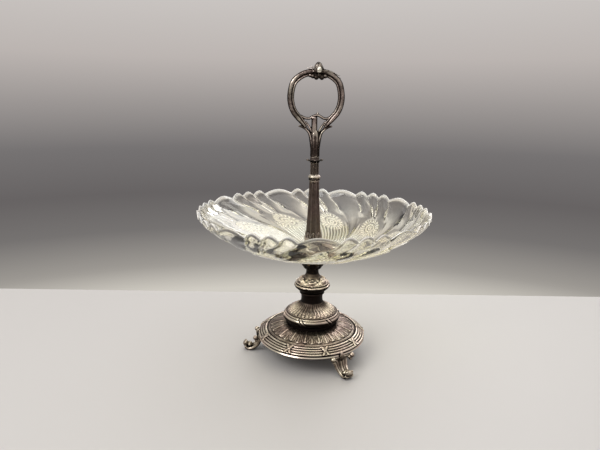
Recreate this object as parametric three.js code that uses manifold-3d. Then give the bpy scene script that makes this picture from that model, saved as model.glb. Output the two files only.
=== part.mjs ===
// Footed fruit bowl: a swirled pressed glass dish on a cast metal stand with three scroll feet,
// and a fluted column with a loop handle that screws down on the dish from above.
// Millimetres, +Z up, origin on the table under the middle of the stand, front towards -Y.
import * as THREE from 'three';
import { mergeVertices } from 'three/addons/utils/BufferGeometryUtils.js';
import Module from 'manifold-3d';

const wasm = await Module();
wasm.setup();

const radians = THREE.MathUtils.degToRad;

// Clearance round each rod, pin or spigot in its hole
const CLEARANCE = 0.3;

// Tie rod and its fasteners
const ROD_RADIUS = 3;
const ROD_BELOW_NUT = 1.6;
const NUT_RADIUS = 5.6;
const NUT_HEIGHT = 5;
const SEAT_NUT_HEIGHT = 2.1;
const SPRING_WASHER_RADIUS = 5.4;
const SPRING_WASHER_THICKNESS = 1.2;
const BASE_DISC_RADIUS = 15;
const BASE_DISC_THICKNESS = 1.5;
const THREAD_LENGTH = 11;
const INSERT_RISE = 2;

// Base: a reeded rim, a domed top and a collar under the stem
const FOOT_HEIGHT = 17;
const BASE_RADIUS = 53;
const BASE_WALL = 2.2;
const RIM_LIP = 1;
const RIM_BEVEL = 0.8;
const BAND_WIDTH = 8.3;
const BAND_RISE = 5;
const BAND_EDGE = 3;
const REEDS = 4;
const REED_SWELL = 0.75;
const DOME_RISE = 6;
const DOME_CROWN = 1.1;
const DOME_GROOVE_WIDTH = 1;
const DOME_GROOVE_DEPTH = 0.4;
const COLLAR_RADIUS = 24.2;
const COLLAR_HEIGHT = 6;
const COLLAR_WAIST = 0.6;
const LEAVES = 18;
const DOME_LEAF_DEPTH = 0.7;

// Feet
const FOOT_NAMES = ['foot_left', 'foot_front', 'foot_rear'];
const FIRST_FOOT_ANGLE = radians(-179.4);
const TOE_OVERHANG = 13;
const LEG_INSET = 3;
const LEG_TOP_WIDTH = 16;
const ANKLE_WIDTH = 9.6;
const TOE_WIDTH = 7.5;
const LEG_THICKNESS = 5.6;
const TOE_THICKNESS = 4.2;
const TOE_BALL = 3.1;
const TOE_BALL_LIFT = 1.6;
const INNER_BALL = 2.6;
const INNER_BALL_LIFT = 0.7;
const INNER_BALL_GAP = 4.6;
const EAR_RADIUS = 2.5;
const EAR_SPREAD = 9.8;
const EAR_PROUD = 2.3;
const EAR_RISE = 1.7;
const SHOULDER_THICKNESS = 2.6;
const LUG_DROP = 1;
const LUG_THICKNESS = 3.5;
const LUG_WIDTH = 9;
const LUG_END = 3.4;
const BOSS_RADIUS = 3;
const SCREW_RADIUS = 1.3;
const SCREW_HEAD_RADIUS = 2.6;
const SCREW_HEAD_HEIGHT = 2.2;
const SCREW_INSET = 13;

// Stem: a beaded ring with a fluted trumpet and a spool, a lobed knop and a calyx neck
const RING_RADIUS = 27.7;
const RING_HEIGHT = 7;
const RING_LIP = 2.7;
const TRUMPET_HEIGHT = 26;
const TRUMPET_FLARE = 9;
const TRUMPET_RISE = 9.5;
const TRUMPET_LEAF_DEPTH = 0.8;
const SPOOL_RADIUS = 10.5;
const SPOOL_FLARE = 1.7;
const SPOOL_FLARE_HEIGHT = 6.5;
const KNOP_RADIUS = 17.4;
const KNOP_HEIGHT = 17;
const KNOP_LOBES = 12;
const KNOP_LOBE_DEPTH = 0.9;
const KNOP_SHOULDER = 3.7;
const KNOP_TOP_FLARE = 0.9;
const NECK_RADIUS = 6;
const CALYX_HEIGHT = 11.5;
const CALYX_RADIUS = 10.3;
const CALYX_LEAVES = 8;
const CALYX_TIP = 0.8;
const CALYX_RIM = 1;

// Washers that keep the metal off the glass
const CUP_WASHER_THICKNESS = 1.5;
const COLUMN_WASHER_THICKNESS = 1;
const COLUMN_WASHER_RADIUS = 9.5;

// Glass dish: nine wide petals, with three narrow scallops between each two
const DISH_RADIUS = 110;
const DISH_DEPTH = 53.6;
const DISH_CENTRE_THICKNESS = 6;
const DISH_WALL = 4.5;
const DISH_HOLE_RADIUS = 4.6;
const DISH_BOSS_RADIUS = 14;
const DISH_BOSS_HEIGHT = 2.5;
const PETALS = 9;
const PETAL_ANGLE = radians(17);
const PETAL_POINT_RADIUS = 15;
const PETAL_FULL_RADIUS = 88;
const GROOVE_END_RADIUS = 30;
const FIRST_PETAL_ANGLE = radians(31.1);
const SWIRL = radians(55);
const NOTCH_DEPTH = 3;
const FLUTE_DEPTH = 1.3;
const SLEEVE_WALL = 0.8;
const WASHER_INSET = 0.3;

// Column above the dish
const COLUMN_FOOT_HEIGHT = 17.5;
const COLUMN_FOOT_RADIUS = 12;
const COLUMN_FOOT_WAIST = 0.5;
const COLUMN_FOOT_BEAD = 1.3;
const SHAFT_BOTTOM_RADIUS = 8;
const SHAFT_TOP_RADIUS = 4.75;
const SHAFT_LENGTH = 56;
const FLUTES = 8;
const SHAFT_FLUTE_DEPTH = 0.55;
const SHAFT_HOLLOWING = 0.35;
const FLUTE_MARGIN = 1.2;
const PLUG_GAP = 1;
const COLLAR_BEAD_RADIUS = 5.9;
const COLLAR_BEAD_HEIGHT = 5;
const BEAD_SWELL = 1;
const MID_RADIUS = 4.25;
const MID_LENGTH = 11.5;
const LEAF_COLLAR_RADIUS = 7.1;
const LEAF_COLLAR_HEIGHT = 5.5;
const LEAF_COLLAR_SWELL = 0.7;
const BUDS = 4;
const BUD_BALL = 1.4;
const SPIGOT_RADIUS = 2.2;
const SPIGOT_DEPTH = 5;
const INSERT_WALL = 1.7;

// Loop handle, which lies in the X-Z plane
const FORK_RADIUS = 3.95;
const FORK_HEIGHT = 18.5;
const FORK_SPREAD = 3.8;
const BRANCH_SPREAD = 3.5;
const BRANCH_TAPER = 0.62;
const TAPER_TRAVEL = 0.14;
const LOOP_RADIUS = 22.8;
const LOOP_RISE = 74.8;
const STRAP_WIDTH = 6.2;
const STRAP_THICKNESS = 5.4;
const BRIDGE_RISE = 35.2;
const BRIDGE_WAVE = 1.6;
const BRIDGE_THICKNESS = 2.3;
const BUMP_OFFSET = 1.5;
const POST_RADIUS = 2.8;
const POST_OFFSET = -1;
const POST_BEAD = 1.1;
const LEAF_TIP_REACH = 14.1;
const LEAF_TIP_RISE = 27.5;
const LEAF_TIP_LENGTH = 6;
const BERRY_RADIUS = 1.9;
const BERRY_DEPTH = 1.2;
const FINIAL_OFFSET = 1.8;
const FINIAL_SEAT_WIDTH = 9;
const FINIAL_SEAT_SINK = 0.7;
const FINIAL_LEAF_RISE = 0.9;
const LONG_LEAF_WIDTH = 5;
const LONG_LEAF_SPAN = [0.481, 0.342];
const SHORT_LEAF_WIDTH = 4.4;
const SHORT_LEAF_SPAN = [0.494, 0.553];
const BUD_RADIUS = 3.4;
const BUD_HEIGHT = 6.2;
const FINIAL_PEG_RADIUS = 1;
const FINIAL_PEG_LENGTH = 3;

// Heights of the stacked pieces, from the table up
const RIM_Z = FOOT_HEIGHT;
const BAND_Z = RIM_Z + BAND_EDGE + BAND_RISE;
const DOME_Z = BAND_Z + DOME_RISE;
const COLLAR_Z = DOME_Z + COLLAR_HEIGHT;
const STEM_Z = COLLAR_Z + TRUMPET_HEIGHT;
const NECK_Z = STEM_Z + KNOP_HEIGHT;
const CUP_Z = NECK_Z + CALYX_HEIGHT;
const DISH_Z = CUP_Z + CUP_WASHER_THICKNESS;
const DISH_TOP_Z = DISH_Z + DISH_CENTRE_THICKNESS;
const COLUMN_Z = DISH_TOP_Z + COLUMN_WASHER_THICKNESS;
const SHAFT_Z = COLUMN_Z + COLUMN_FOOT_HEIGHT;
const BEADS_Z = SHAFT_Z + SHAFT_LENGTH;
const MID_Z = BEADS_Z + COLLAR_BEAD_HEIGHT;
const BUDS_Z = MID_Z + MID_LENGTH;
const HANDLE_Z = BUDS_Z + LEAF_COLLAR_HEIGHT;
const FORK_Z = HANDLE_Z + FORK_HEIGHT;
const LOOP_Z = HANDLE_Z + LOOP_RISE;

const ROD_HOLE = ROD_RADIUS + CLEARANCE;
const SPIGOT_HOLE = SPIGOT_RADIUS + CLEARANCE;
const INSERT_RADIUS = ROD_HOLE + INSERT_WALL;
const INSERT_Z = COLUMN_Z + INSERT_RISE;

// Materials
const silver = new THREE.MeshStandardMaterial({ color: 0x8d8580, roughness: 0.38, metalness: 1 });
const darkSilver = new THREE.MeshStandardMaterial({ color: 0x6f6763, roughness: 0.42, metalness: 1 });
const glass = new THREE.MeshStandardMaterial({ color: 0xdfe6d8, roughness: 0.05, metalness: 0 });
const cork = new THREE.MeshStandardMaterial({ color: 0x9a7448, roughness: 0.9, metalness: 0 });
const steel = new THREE.MeshStandardMaterial({ color: 0x77767a, roughness: 0.5, metalness: 1 });
const brass = new THREE.MeshStandardMaterial({ color: 0xa88a4a, roughness: 0.4, metalness: 1 });

// Revolves a closed outline of [radius, height, relief] points about +Z. The outline runs
// counter-clockwise, and shift moves each vertex from its place on the plain turned surface.
function revolve(outline, columns, shift) {
  const closed = [...outline, outline[0]];
  const shape = new THREE.LatheGeometry(closed.map(([r, z]) => new THREE.Vector2(r, z)), columns);
  shape.rotateX(Math.PI / 2);
  if (!shift) {
    return shape;
  }
  const position = shape.getAttribute('position');
  for (let i = 0; i < position.count; i += 1) {
    const column = Math.floor(i / closed.length) % columns;
    const [r, z, relief = 0] = closed[i % closed.length];
    const plain = (column / columns) * 2 * Math.PI - Math.PI / 2;
    const { radius = r, height = z, angle = plain } = shift(column, plain, { r, z, relief });
    position.setXYZ(i, radius * Math.cos(angle), radius * Math.sin(angle), height);
  }
  return shape;
}

// Sinks every nth column by the relief of its outline point, which leaves a valley between leaves.
function valleys(every) {
  return (column, plain, { r, z, relief }) => {
    const sunk = column % every === 0 ? relief : 0;
    return { radius: r - sunk, height: z };
  };
}

// Points of a rounded swelling from one outline point up to the next, without the last.
function swell([r0, z0], [r1, z1], height, count, relief = 0) {
  const length = Math.hypot(r1 - r0, z1 - z0);
  const out = [(z1 - z0) / length, (r0 - r1) / length];
  return Array.from({ length: count }, (_, i) => {
    const t = i / count;
    const rise = height * Math.sin(Math.PI * t);
    return [r0 + (r1 - r0) * t + out[0] * rise, z0 + (z1 - z0) * t + out[1] * rise, relief];
  });
}

// Sweeps a unit section of [across, out] points through steps, and places each by a function of
// across, out and the travel from 0 to 1.
function sweep(section, steps, place) {
  const outline = new THREE.Shape(section.map(([across, out]) => new THREE.Vector2(across, out)));
  const shape = new THREE.ExtrudeGeometry(outline, { depth: 1, steps, bevelEnabled: false });
  const position = shape.getAttribute('position');
  for (let i = 0; i < position.count; i += 1) {
    const at = place(position.getX(i), position.getY(i), position.getZ(i));
    position.setXYZ(i, at.x, at.y, at.z);
  }
  return shape;
}

function ball(radius, x, y, z, stretch = [1, 1, 1], across = 8, up = 5) {
  const shape = new THREE.SphereGeometry(radius, across, up);
  shape.rotateX(Math.PI / 2);
  shape.scale(...stretch);
  shape.translate(x, y, z);
  return shape;
}

function box(x, y, z) {
  const shape = new THREE.BoxGeometry(x[1] - x[0], y[1] - y[0], z[1] - z[0]);
  shape.translate((x[0] + x[1]) / 2, (y[0] + y[1]) / 2, (z[0] + z[1]) / 2);
  return shape;
}

// An upright round bar, or a prism with few sides.
function bar(radius, bottom, top, sides = 16) {
  const shape = new THREE.CylinderGeometry(radius, radius, top - bottom, sides);
  shape.rotateX(Math.PI / 2);
  shape.translate(0, 0, (bottom + top) / 2);
  return shape;
}

// Solids for cutting and joining
function toSolid(shape) {
  const bare = new THREE.BufferGeometry();
  const loose = shape.index ? shape.toNonIndexed() : shape;
  bare.setAttribute('position', loose.getAttribute('position'));
  const welded = mergeVertices(bare, 1e-3);
  const solid = new wasm.Manifold(new wasm.Mesh({
    numProp: 3,
    vertProperties: welded.getAttribute('position').array,
    triVerts: new Uint32Array(welded.index.array),
  }));
  return solid.volume() < 0 ? flip(welded) : solid;
}

function flip(welded) {
  const turned = new Uint32Array(welded.index.array).reverse();
  return new wasm.Manifold(new wasm.Mesh({
    numProp: 3,
    vertProperties: welded.getAttribute('position').array,
    triVerts: turned,
  }));
}

function join(...shapes) {
  return shapes.map(toSolid).reduce((whole, piece) => whole.add(piece));
}

function toGeometry(solid) {
  const made = solid.getMesh();
  const shape = new THREE.BufferGeometry();
  shape.setAttribute('position', new THREE.BufferAttribute(made.vertProperties, 3));
  shape.setIndex(new THREE.BufferAttribute(made.triVerts, 1));
  shape.computeVertexNormals();
  return shape;
}

const bowl = new THREE.Group();

function add(name, shape, material, parent = bowl) {
  const geometry = shape.isBufferGeometry ? shape : toGeometry(shape);
  const mesh = new THREE.Mesh(geometry, material);
  mesh.name = name;
  parent.add(mesh);
  return mesh;
}

// Base: hollow underneath, with a boss for each foot
const BASE_COLUMNS = LEAVES * 2;
const DOME_RADIUS = BASE_RADIUS - BAND_WIDTH;
const CEILING_Z = COLLAR_Z - BASE_WALL;
const RIM_INNER_RADIUS = BASE_RADIUS - BASE_WALL - RIM_LIP;

function ceilingAt(radius) {
  const run = (radius + BASE_WALL - COLLAR_RADIUS) / (DOME_RADIUS - COLLAR_RADIUS);
  return THREE.MathUtils.lerp(DOME_Z, BAND_Z, run) - BASE_WALL;
}

function baseOutline() {
  const reedFoot = [BASE_RADIUS, RIM_Z + BAND_EDGE];
  const reedHead = [DOME_RADIUS, BAND_Z];
  const along = (i) => [
    THREE.MathUtils.lerp(reedFoot[0], reedHead[0], i / REEDS),
    THREE.MathUtils.lerp(reedFoot[1], reedHead[1], i / REEDS),
  ];
  const reeds = Array.from({ length: REEDS }, (_, i) => swell(along(i), along(i + 1), REED_SWELL, 3));
  const domeEdge = [DOME_RADIUS - DOME_GROOVE_WIDTH, BAND_Z - DOME_GROOVE_DEPTH];
  const collarFoot = [COLLAR_RADIUS, DOME_Z];
  const dome = swell(domeEdge, collarFoot, DOME_CROWN, 4);
  dome[1][2] = DOME_LEAF_DEPTH;
  dome[2][2] = DOME_LEAF_DEPTH;
  dome[3][2] = DOME_LEAF_DEPTH / 2;
  const inner = COLLAR_RADIUS - BASE_WALL;
  return [
    [ROD_HOLE, CEILING_Z],
    [inner, CEILING_Z],
    [inner, ceilingAt(inner)],
    [DOME_RADIUS - BASE_WALL, ceilingAt(DOME_RADIUS - BASE_WALL)],
    [RIM_INNER_RADIUS, RIM_Z],
    [BASE_RADIUS - RIM_BEVEL, RIM_Z],
    ...reeds.flat(),
    reedHead,
    ...dome,
    collarFoot,
    [COLLAR_RADIUS - COLLAR_WAIST, (DOME_Z + COLLAR_Z) / 2],
    [COLLAR_RADIUS, COLLAR_Z],
    [ROD_HOLE, COLLAR_Z],
  ];
}

// The leaves on the dome sink straight down at the valleys between them.
function domeShift(column, plain, { r, z, relief }) {
  return { radius: r, height: column % 2 === 0 ? z - relief : z };
}

const footAngles = FOOT_NAMES.map((_, i) => FIRST_FOOT_ANGLE + (i * 2 * Math.PI) / FOOT_NAMES.length);
const LUG_Z = RIM_Z - LUG_DROP;
const LUG_TOP_Z = LUG_Z + LUG_THICKNESS;
const SCREW_CIRCLE = BASE_RADIUS - SCREW_INSET;
const FOOT_REACH = BASE_RADIUS + TOE_OVERHANG;
const SCREW_HOLE = SCREW_RADIUS + CLEARANCE;
const SCREW_HOLE_TOP_Z = ceilingAt(SCREW_CIRCLE);
const SCREW_TIP_Z = SCREW_HOLE_TOP_Z - 2 * CLEARANCE;

function aboutFoot(shape, angle) {
  shape.translate(SCREW_CIRCLE, 0, 0);
  shape.rotateZ(angle);
  return shape;
}

function baseSolid() {
  const bossTop = ceilingAt(SCREW_CIRCLE - BOSS_RADIUS) + BASE_WALL / 8;
  let base = toSolid(revolve(baseOutline(), BASE_COLUMNS, domeShift));
  footAngles.forEach((angle) => {
    const boss = aboutFoot(bar(BOSS_RADIUS, LUG_TOP_Z, bossTop, 12), angle);
    const hole = aboutFoot(bar(SCREW_HOLE, LUG_Z, SCREW_HOLE_TOP_Z, 8), angle);
    base = base.add(toSolid(boss)).subtract(toSolid(hole));
  });
  return base;
}
add('base_dome', baseSolid(), silver);

// Scroll feet: each leg drops from the rim, runs out along the table and rolls up at the toe
const LEG_SECTION = [
  [-1, -1],
  [1, -1],
  [1, 0.5],
  [0.72, 0.85],
  [0.36, 0.3],
  [0, 1],
  [-0.36, 0.3],
  [-0.72, 0.85],
  [-1, 0.5],
];
const LEG_STEPS = 10;
const ANKLE_TRAVEL = 0.55;

// The leg's centre line, in shares of its run from under the rim to the toe.
function legSpine() {
  const top = BASE_RADIUS - LEG_INSET;
  const at = (share, z) => new THREE.Vector3(THREE.MathUtils.lerp(top, FOOT_REACH, share), 0, z);
  return new THREE.CatmullRomCurve3([
    at(-0.12, RIM_Z * 1.06),
    at(0.1, RIM_Z * 0.66),
    at(0.22, RIM_Z * 0.4),
    at(0.52, TOE_THICKNESS * 0.72),
    at(0.84, TOE_THICKNESS * 0.34),
    at(1.04, TOE_THICKNESS * 1.15),
  ]);
}

function legWidth(travel) {
  if (travel < ANKLE_TRAVEL) {
    return THREE.MathUtils.lerp(LEG_TOP_WIDTH, ANKLE_WIDTH, travel / ANKLE_TRAVEL);
  }
  return THREE.MathUtils.lerp(ANKLE_WIDTH, TOE_WIDTH, (travel - ANKLE_TRAVEL) / (1 - ANKLE_TRAVEL));
}

function legShape() {
  const spine = legSpine();
  return sweep(LEG_SECTION, LEG_STEPS, (across, out, travel) => {
    const at = spine.getPointAt(travel);
    const along = spine.getTangentAt(travel);
    const thick = THREE.MathUtils.lerp(LEG_THICKNESS, TOE_THICKNESS, travel) / 2;
    return new THREE.Vector3(
      at.x - along.z * out * thick,
      (across * legWidth(travel)) / 2,
      at.z + along.x * out * thick,
    );
  });
}

// The lug fits inside the rim, whose inner wall leans in from the rim's foot to the ceiling.
function lugReach() {
  const head = DOME_RADIUS - BASE_WALL;
  const share = (LUG_TOP_Z - RIM_Z) / (ceilingAt(head) - RIM_Z);
  const wall = THREE.MathUtils.lerp(RIM_INNER_RADIUS, head, share) * Math.cos(Math.PI / BASE_COLUMNS);
  return Math.sqrt(wall * wall - (LUG_WIDTH * LUG_WIDTH) / 4) - CLEARANCE;
}

function footSolid() {
  const earOut = BASE_RADIUS + EAR_PROUD;
  const earZ = RIM_Z - EAR_RADIUS + EAR_RISE;
  const inHalf = LUG_WIDTH / 2;
  const shoulderInner = SCREW_CIRCLE + SCREW_HEAD_RADIUS + 2 * CLEARANCE;
  const shoulderX = [shoulderInner, earOut - EAR_RADIUS / 2];
  const shoulder = box(shoulderX, [-EAR_SPREAD, EAR_SPREAD], [RIM_Z - SHOULDER_THICKNESS, RIM_Z]);
  const lug = box([SCREW_CIRCLE - LUG_END, lugReach()], [-inHalf, inHalf], [LUG_Z, LUG_TOP_Z]);
  const above = box([0, 2 * FOOT_REACH], [-FOOT_REACH, FOOT_REACH], [RIM_Z, 2 * RIM_Z]);
  const below = box([0, 2 * FOOT_REACH], [-FOOT_REACH, FOOT_REACH], [-RIM_Z, 0]);
  const stretch = [1, TOE_WIDTH / 2 / TOE_BALL, 1];
  const outerToe = ball(TOE_BALL, FOOT_REACH, 0, TOE_THICKNESS + TOE_BALL_LIFT, stretch);
  const innerToe = ball(INNER_BALL, FOOT_REACH - INNER_BALL_GAP, 0, TOE_THICKNESS + INNER_BALL_LIFT);
  const ears = [-1, 1].map((side) => ball(EAR_RADIUS, earOut, side * EAR_SPREAD, earZ));
  const leg = toSolid(legShape()).subtract(toSolid(above));
  const pieces = [shoulder, lug, outerToe, innerToe, ...ears].map(toSolid);
  const whole = pieces.reduce((sum, piece) => sum.add(piece), leg);
  const hole = bar(SCREW_HOLE, 0, 2 * RIM_Z, 8);
  hole.translate(SCREW_CIRCLE, 0, 0);
  return whole.subtract(toSolid(below)).subtract(toSolid(hole));
}

function screwShape() {
  const headZ = LUG_Z - SCREW_HEAD_HEIGHT;
  return revolve([
    [0, headZ],
    [SCREW_HEAD_RADIUS, headZ],
    [SCREW_HEAD_RADIUS, LUG_Z],
    [SCREW_RADIUS, LUG_Z],
    [SCREW_RADIUS, SCREW_TIP_Z],
    [0, SCREW_TIP_Z],
  ], 8);
}

FOOT_NAMES.forEach((name, i) => {
  const corner = new THREE.Group();
  corner.rotation.z = footAngles[i];
  bowl.add(corner);
  add(name, footSolid(), silver, corner);
  const screw = add(name.replace('foot', 'foot_screw'), screwShape(), steel, corner);
  screw.position.x = SCREW_CIRCLE;
});

// Fasteners under the collar: a stiffening disc, a spring washer and a nut on the tie rod
function washer(inner, outer, bottom, thickness) {
  return revolve([
    [inner, bottom],
    [outer, bottom],
    [outer, bottom + thickness],
    [inner, bottom + thickness],
  ], 16);
}

function nut(bottom, height) {
  const prism = toSolid(bar(NUT_RADIUS, bottom, bottom + height, 6));
  return prism.subtract(toSolid(bar(ROD_HOLE, bottom - 1, bottom + height + 1)));
}

const DISC_Z = CEILING_Z - BASE_DISC_THICKNESS;
const SPRING_Z = DISC_Z - SPRING_WASHER_THICKNESS;
const NUT_Z = SPRING_Z - NUT_HEIGHT;
const ROD_TOP_Z = INSERT_Z + THREAD_LENGTH;
const SEAT_NUT_Z = CUP_Z - SEAT_NUT_HEIGHT - CLEARANCE;

add('base_disc', washer(ROD_HOLE, BASE_DISC_RADIUS, DISC_Z, BASE_DISC_THICKNESS), steel);
add('spring_washer', washer(ROD_HOLE, SPRING_WASHER_RADIUS, SPRING_Z, SPRING_WASHER_THICKNESS), steel);
add('base_nut', nut(NUT_Z, NUT_HEIGHT), steel);
add('tie_rod', bar(ROD_RADIUS, NUT_Z - ROD_BELOW_NUT, ROD_TOP_Z), steel);
add('seat_nut', nut(SEAT_NUT_Z, SEAT_NUT_HEIGHT), steel);

// Stem: the ring stands on the collar, and its trumpet rises to a waisted spool
function trumpetOutline() {
  const ringTop = COLLAR_Z + RING_HEIGHT;
  const leaf = TRUMPET_LEAF_DEPTH;
  const ringFoot = [RING_RADIUS - RING_HEIGHT * 0.3, COLLAR_Z + RING_HEIGHT * 0.09];
  const ringHead = [RING_RADIUS - RING_HEIGHT * 0.14, ringTop - RING_HEIGHT * 0.09];
  const flare = (share, rise, relief) => [
    SPOOL_RADIUS + TRUMPET_FLARE * share,
    ringTop + TRUMPET_RISE * rise,
    relief,
  ];
  return [
    [ROD_HOLE, COLLAR_Z],
    [RING_RADIUS - RING_HEIGHT / 2, COLLAR_Z],
    ...swell(ringFoot, ringHead, RING_HEIGHT * 0.21, 3),
    ringHead,
    [RING_RADIUS - RING_LIP, ringTop],
    [RING_RADIUS - RING_LIP * 1.25, ringTop + TRUMPET_RISE * 0.05, leaf / 2],
    flare(1, 0.27, leaf),
    flare(0.51, 0.44, leaf),
    flare(0.17, 0.66, leaf / 2),
    flare(0.03, 1),
    [SPOOL_RADIUS, STEM_Z - SPOOL_FLARE_HEIGHT],
    [SPOOL_RADIUS + SPOOL_FLARE, STEM_Z - SPOOL_FLARE_HEIGHT * 0.12],
    [SPOOL_RADIUS + SPOOL_FLARE * 0.88, STEM_Z],
    [ROD_HOLE, STEM_Z],
  ];
}
add('stem_trumpet', revolve(trumpetOutline(), BASE_COLUMNS, valleys(2)), silver);

// Knop: a flattened ball with a lobed lower edge
function knopOutline() {
  const lobe = KNOP_LOBE_DEPTH;
  const share = (t) => STEM_Z + KNOP_HEIGHT * t;
  return [
    [ROD_HOLE, STEM_Z],
    [SPOOL_RADIUS + SPOOL_FLARE / 3, STEM_Z],
    [KNOP_RADIUS - KNOP_SHOULDER, share(0.13), lobe / 2],
    [KNOP_RADIUS - KNOP_SHOULDER * 0.22, share(0.25), lobe],
    [KNOP_RADIUS - KNOP_SHOULDER * 0.11, share(0.32), lobe],
    [KNOP_RADIUS, share(0.45)],
    [KNOP_RADIUS - KNOP_SHOULDER * 0.14, share(0.54)],
    [KNOP_RADIUS - KNOP_SHOULDER, share(0.68), lobe / 2],
    [NECK_RADIUS + KNOP_TOP_FLARE * 2.9, share(0.81)],
    [NECK_RADIUS + KNOP_TOP_FLARE, share(0.9)],
    [NECK_RADIUS + KNOP_TOP_FLARE, NECK_Z],
    [ROD_HOLE, NECK_Z],
  ];
}
add('knop', revolve(knopOutline(), KNOP_LOBES * 2, valleys(2)), silver);

// Calyx: a slim neck that opens into a cup of leaves under the dish, with a recess for the seat nut
const NUT_RECESS = NUT_RADIUS + CLEARANCE;
const CUP_SEAT_RADIUS = CALYX_RADIUS - CALYX_RIM;

function calyxOutline() {
  const share = (t) => NECK_Z + CALYX_HEIGHT * t;
  const flare = CALYX_RADIUS - NECK_RADIUS;
  return [
    [ROD_HOLE, NECK_Z],
    [NECK_RADIUS + KNOP_TOP_FLARE * 0.9, NECK_Z],
    [NECK_RADIUS, share(0.33)],
    [NECK_RADIUS + flare * 0.05, share(0.52)],
    [NECK_RADIUS + flare * 0.53, share(0.77), CALYX_TIP * 0.6],
    [CALYX_RADIUS - CALYX_RIM * 0.3, share(0.94), CALYX_TIP * 0.95],
    [CALYX_RADIUS, share(1.01), CALYX_TIP],
    [CUP_SEAT_RADIUS + CALYX_RIM * 0.3, CUP_Z],
    [NUT_RECESS, CUP_Z],
    [NUT_RECESS, SEAT_NUT_Z],
    [ROD_HOLE, SEAT_NUT_Z],
  ];
}

// The leaves of the cup end in tips, which stand above the seat at the middle of each leaf.
function calyxShift(column, plain, { r, z, relief }) {
  const onRim = relief === CALYX_TIP;
  if (column % 2 === 1) {
    return { radius: r, height: onRim ? z + CALYX_TIP : z };
  }
  return { radius: r - relief * 0.8, height: onRim ? z - CALYX_TIP / 2 : z };
}
add('calyx_neck', revolve(calyxOutline(), CALYX_LEAVES * 2, calyxShift), silver);

// Glass dish and what keeps it off the metal
const dishCurve = new THREE.SplineCurve([
  new THREE.Vector2(DISH_BOSS_RADIUS, DISH_Z + DISH_BOSS_HEIGHT),
  new THREE.Vector2(DISH_RADIUS * 0.455, DISH_Z + DISH_DEPTH * 0.27),
  new THREE.Vector2(DISH_RADIUS * 0.773, DISH_Z + DISH_DEPTH * 0.55),
  new THREE.Vector2(DISH_RADIUS * 0.936, DISH_Z + DISH_DEPTH * 0.802),
  new THREE.Vector2(DISH_RADIUS, DISH_Z + DISH_DEPTH),
]);
const DISH_RINGS = 5;
const UNDER = 1;
const INSIDE = 2;

function dishOutline() {
  const under = dishCurve.getPoints(DISH_RINGS);
  const inside = under.map((point, i) => {
    const along = dishCurve.getTangent(i / DISH_RINGS);
    return [point.x - along.y * DISH_WALL, point.y + along.x * DISH_WALL, INSIDE];
  });
  const rim = under[DISH_RINGS];
  const lip = inside[DISH_RINGS];
  return [
    [DISH_HOLE_RADIUS, DISH_Z],
    [DISH_BOSS_RADIUS - DISH_BOSS_HEIGHT / 3, DISH_Z],
    ...under.map((point) => [point.x, point.y, UNDER]),
    [(rim.x + lip[0]) / 2 + DISH_WALL * 0.11, (rim.y + lip[1]) / 2 + DISH_WALL * 0.22, INSIDE],
    ...inside.reverse().slice(0, DISH_RINGS),
    [DISH_BOSS_RADIUS - DISH_WALL / 2, DISH_TOP_Z],
    [DISH_HOLE_RADIUS, DISH_TOP_Z],
  ];
}

// Columns of one sector: a petal, then three scallops
const PETAL_COLUMNS = 5;
const SCALLOP_COLUMNS = 3;
const SCALLOPS = 3;
const SECTOR_COLUMNS = PETAL_COLUMNS + SCALLOPS * SCALLOP_COLUMNS;

// Where a column lies in its sector at a radius: its angle from the sector's start, and how far it
// is across its own lobe, from 0 to 1.
function lobeOf(place, radius) {
  const sector = (2 * Math.PI) / PETALS;
  const taper = THREE.MathUtils.smoothstep(radius, PETAL_POINT_RADIUS, PETAL_FULL_RADIUS);
  const petal = PETAL_ANGLE * Math.max(taper, 0.15);
  const start = (PETAL_ANGLE - petal) / 2;
  if (place < PETAL_COLUMNS) {
    const across = place / PETAL_COLUMNS;
    return { angle: start + petal * across, across };
  }
  const beyond = place - PETAL_COLUMNS;
  const across = (beyond % SCALLOP_COLUMNS) / SCALLOP_COLUMNS;
  return { angle: start + petal + ((sector - petal) * beyond) / (SCALLOPS * SCALLOP_COLUMNS), across };
}

// Swirls the dish, dips its rim between the lobes and sinks a groove between them underneath.
function dishShift(column, plain, { r, z, relief }) {
  if (relief === 0) {
    return {};
  }
  const sector = Math.floor(column / SECTOR_COLUMNS);
  const { angle, across } = lobeOf(column % SECTOR_COLUMNS, r);
  const swirled = angle - SWIRL * (1 - r / DISH_RADIUS);
  const hollow = 1 - Math.sin(Math.PI * across);
  const edge = THREE.MathUtils.smoothstep(r, DISH_RADIUS * 0.88, DISH_RADIUS);
  const slope = dishCurve.getTangent(1);
  const dip = NOTCH_DEPTH * hollow * edge;
  const fade = THREE.MathUtils.smoothstep(r, DISH_BOSS_RADIUS, GROOVE_END_RADIUS);
  const groove = relief === UNDER ? FLUTE_DEPTH * hollow * fade : 0;
  return {
    radius: r - dip * slope.x - groove * edge,
    height: z - dip * slope.y + groove * (1 - edge),
    angle: FIRST_PETAL_ANGLE - PETAL_ANGLE / 2 + (sector * 2 * Math.PI) / PETALS + swirled,
  };
}

const WASHER_RADIUS = CUP_SEAT_RADIUS - WASHER_INSET;
const SLEEVE_RADIUS = ROD_HOLE + SLEEVE_WALL;

add('cup_washer', washer(ROD_HOLE, WASHER_RADIUS, CUP_Z, CUP_WASHER_THICKNESS), cork);
add('glass_dish', revolve(dishOutline(), PETALS * SECTOR_COLUMNS, dishShift), glass);
add('hole_sleeve', washer(ROD_HOLE, SLEEVE_RADIUS, DISH_Z, DISH_CENTRE_THICKNESS), cork);
add('column_washer', washer(ROD_HOLE, COLUMN_WASHER_RADIUS, DISH_TOP_Z, COLUMN_WASHER_THICKNESS), cork);

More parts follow.
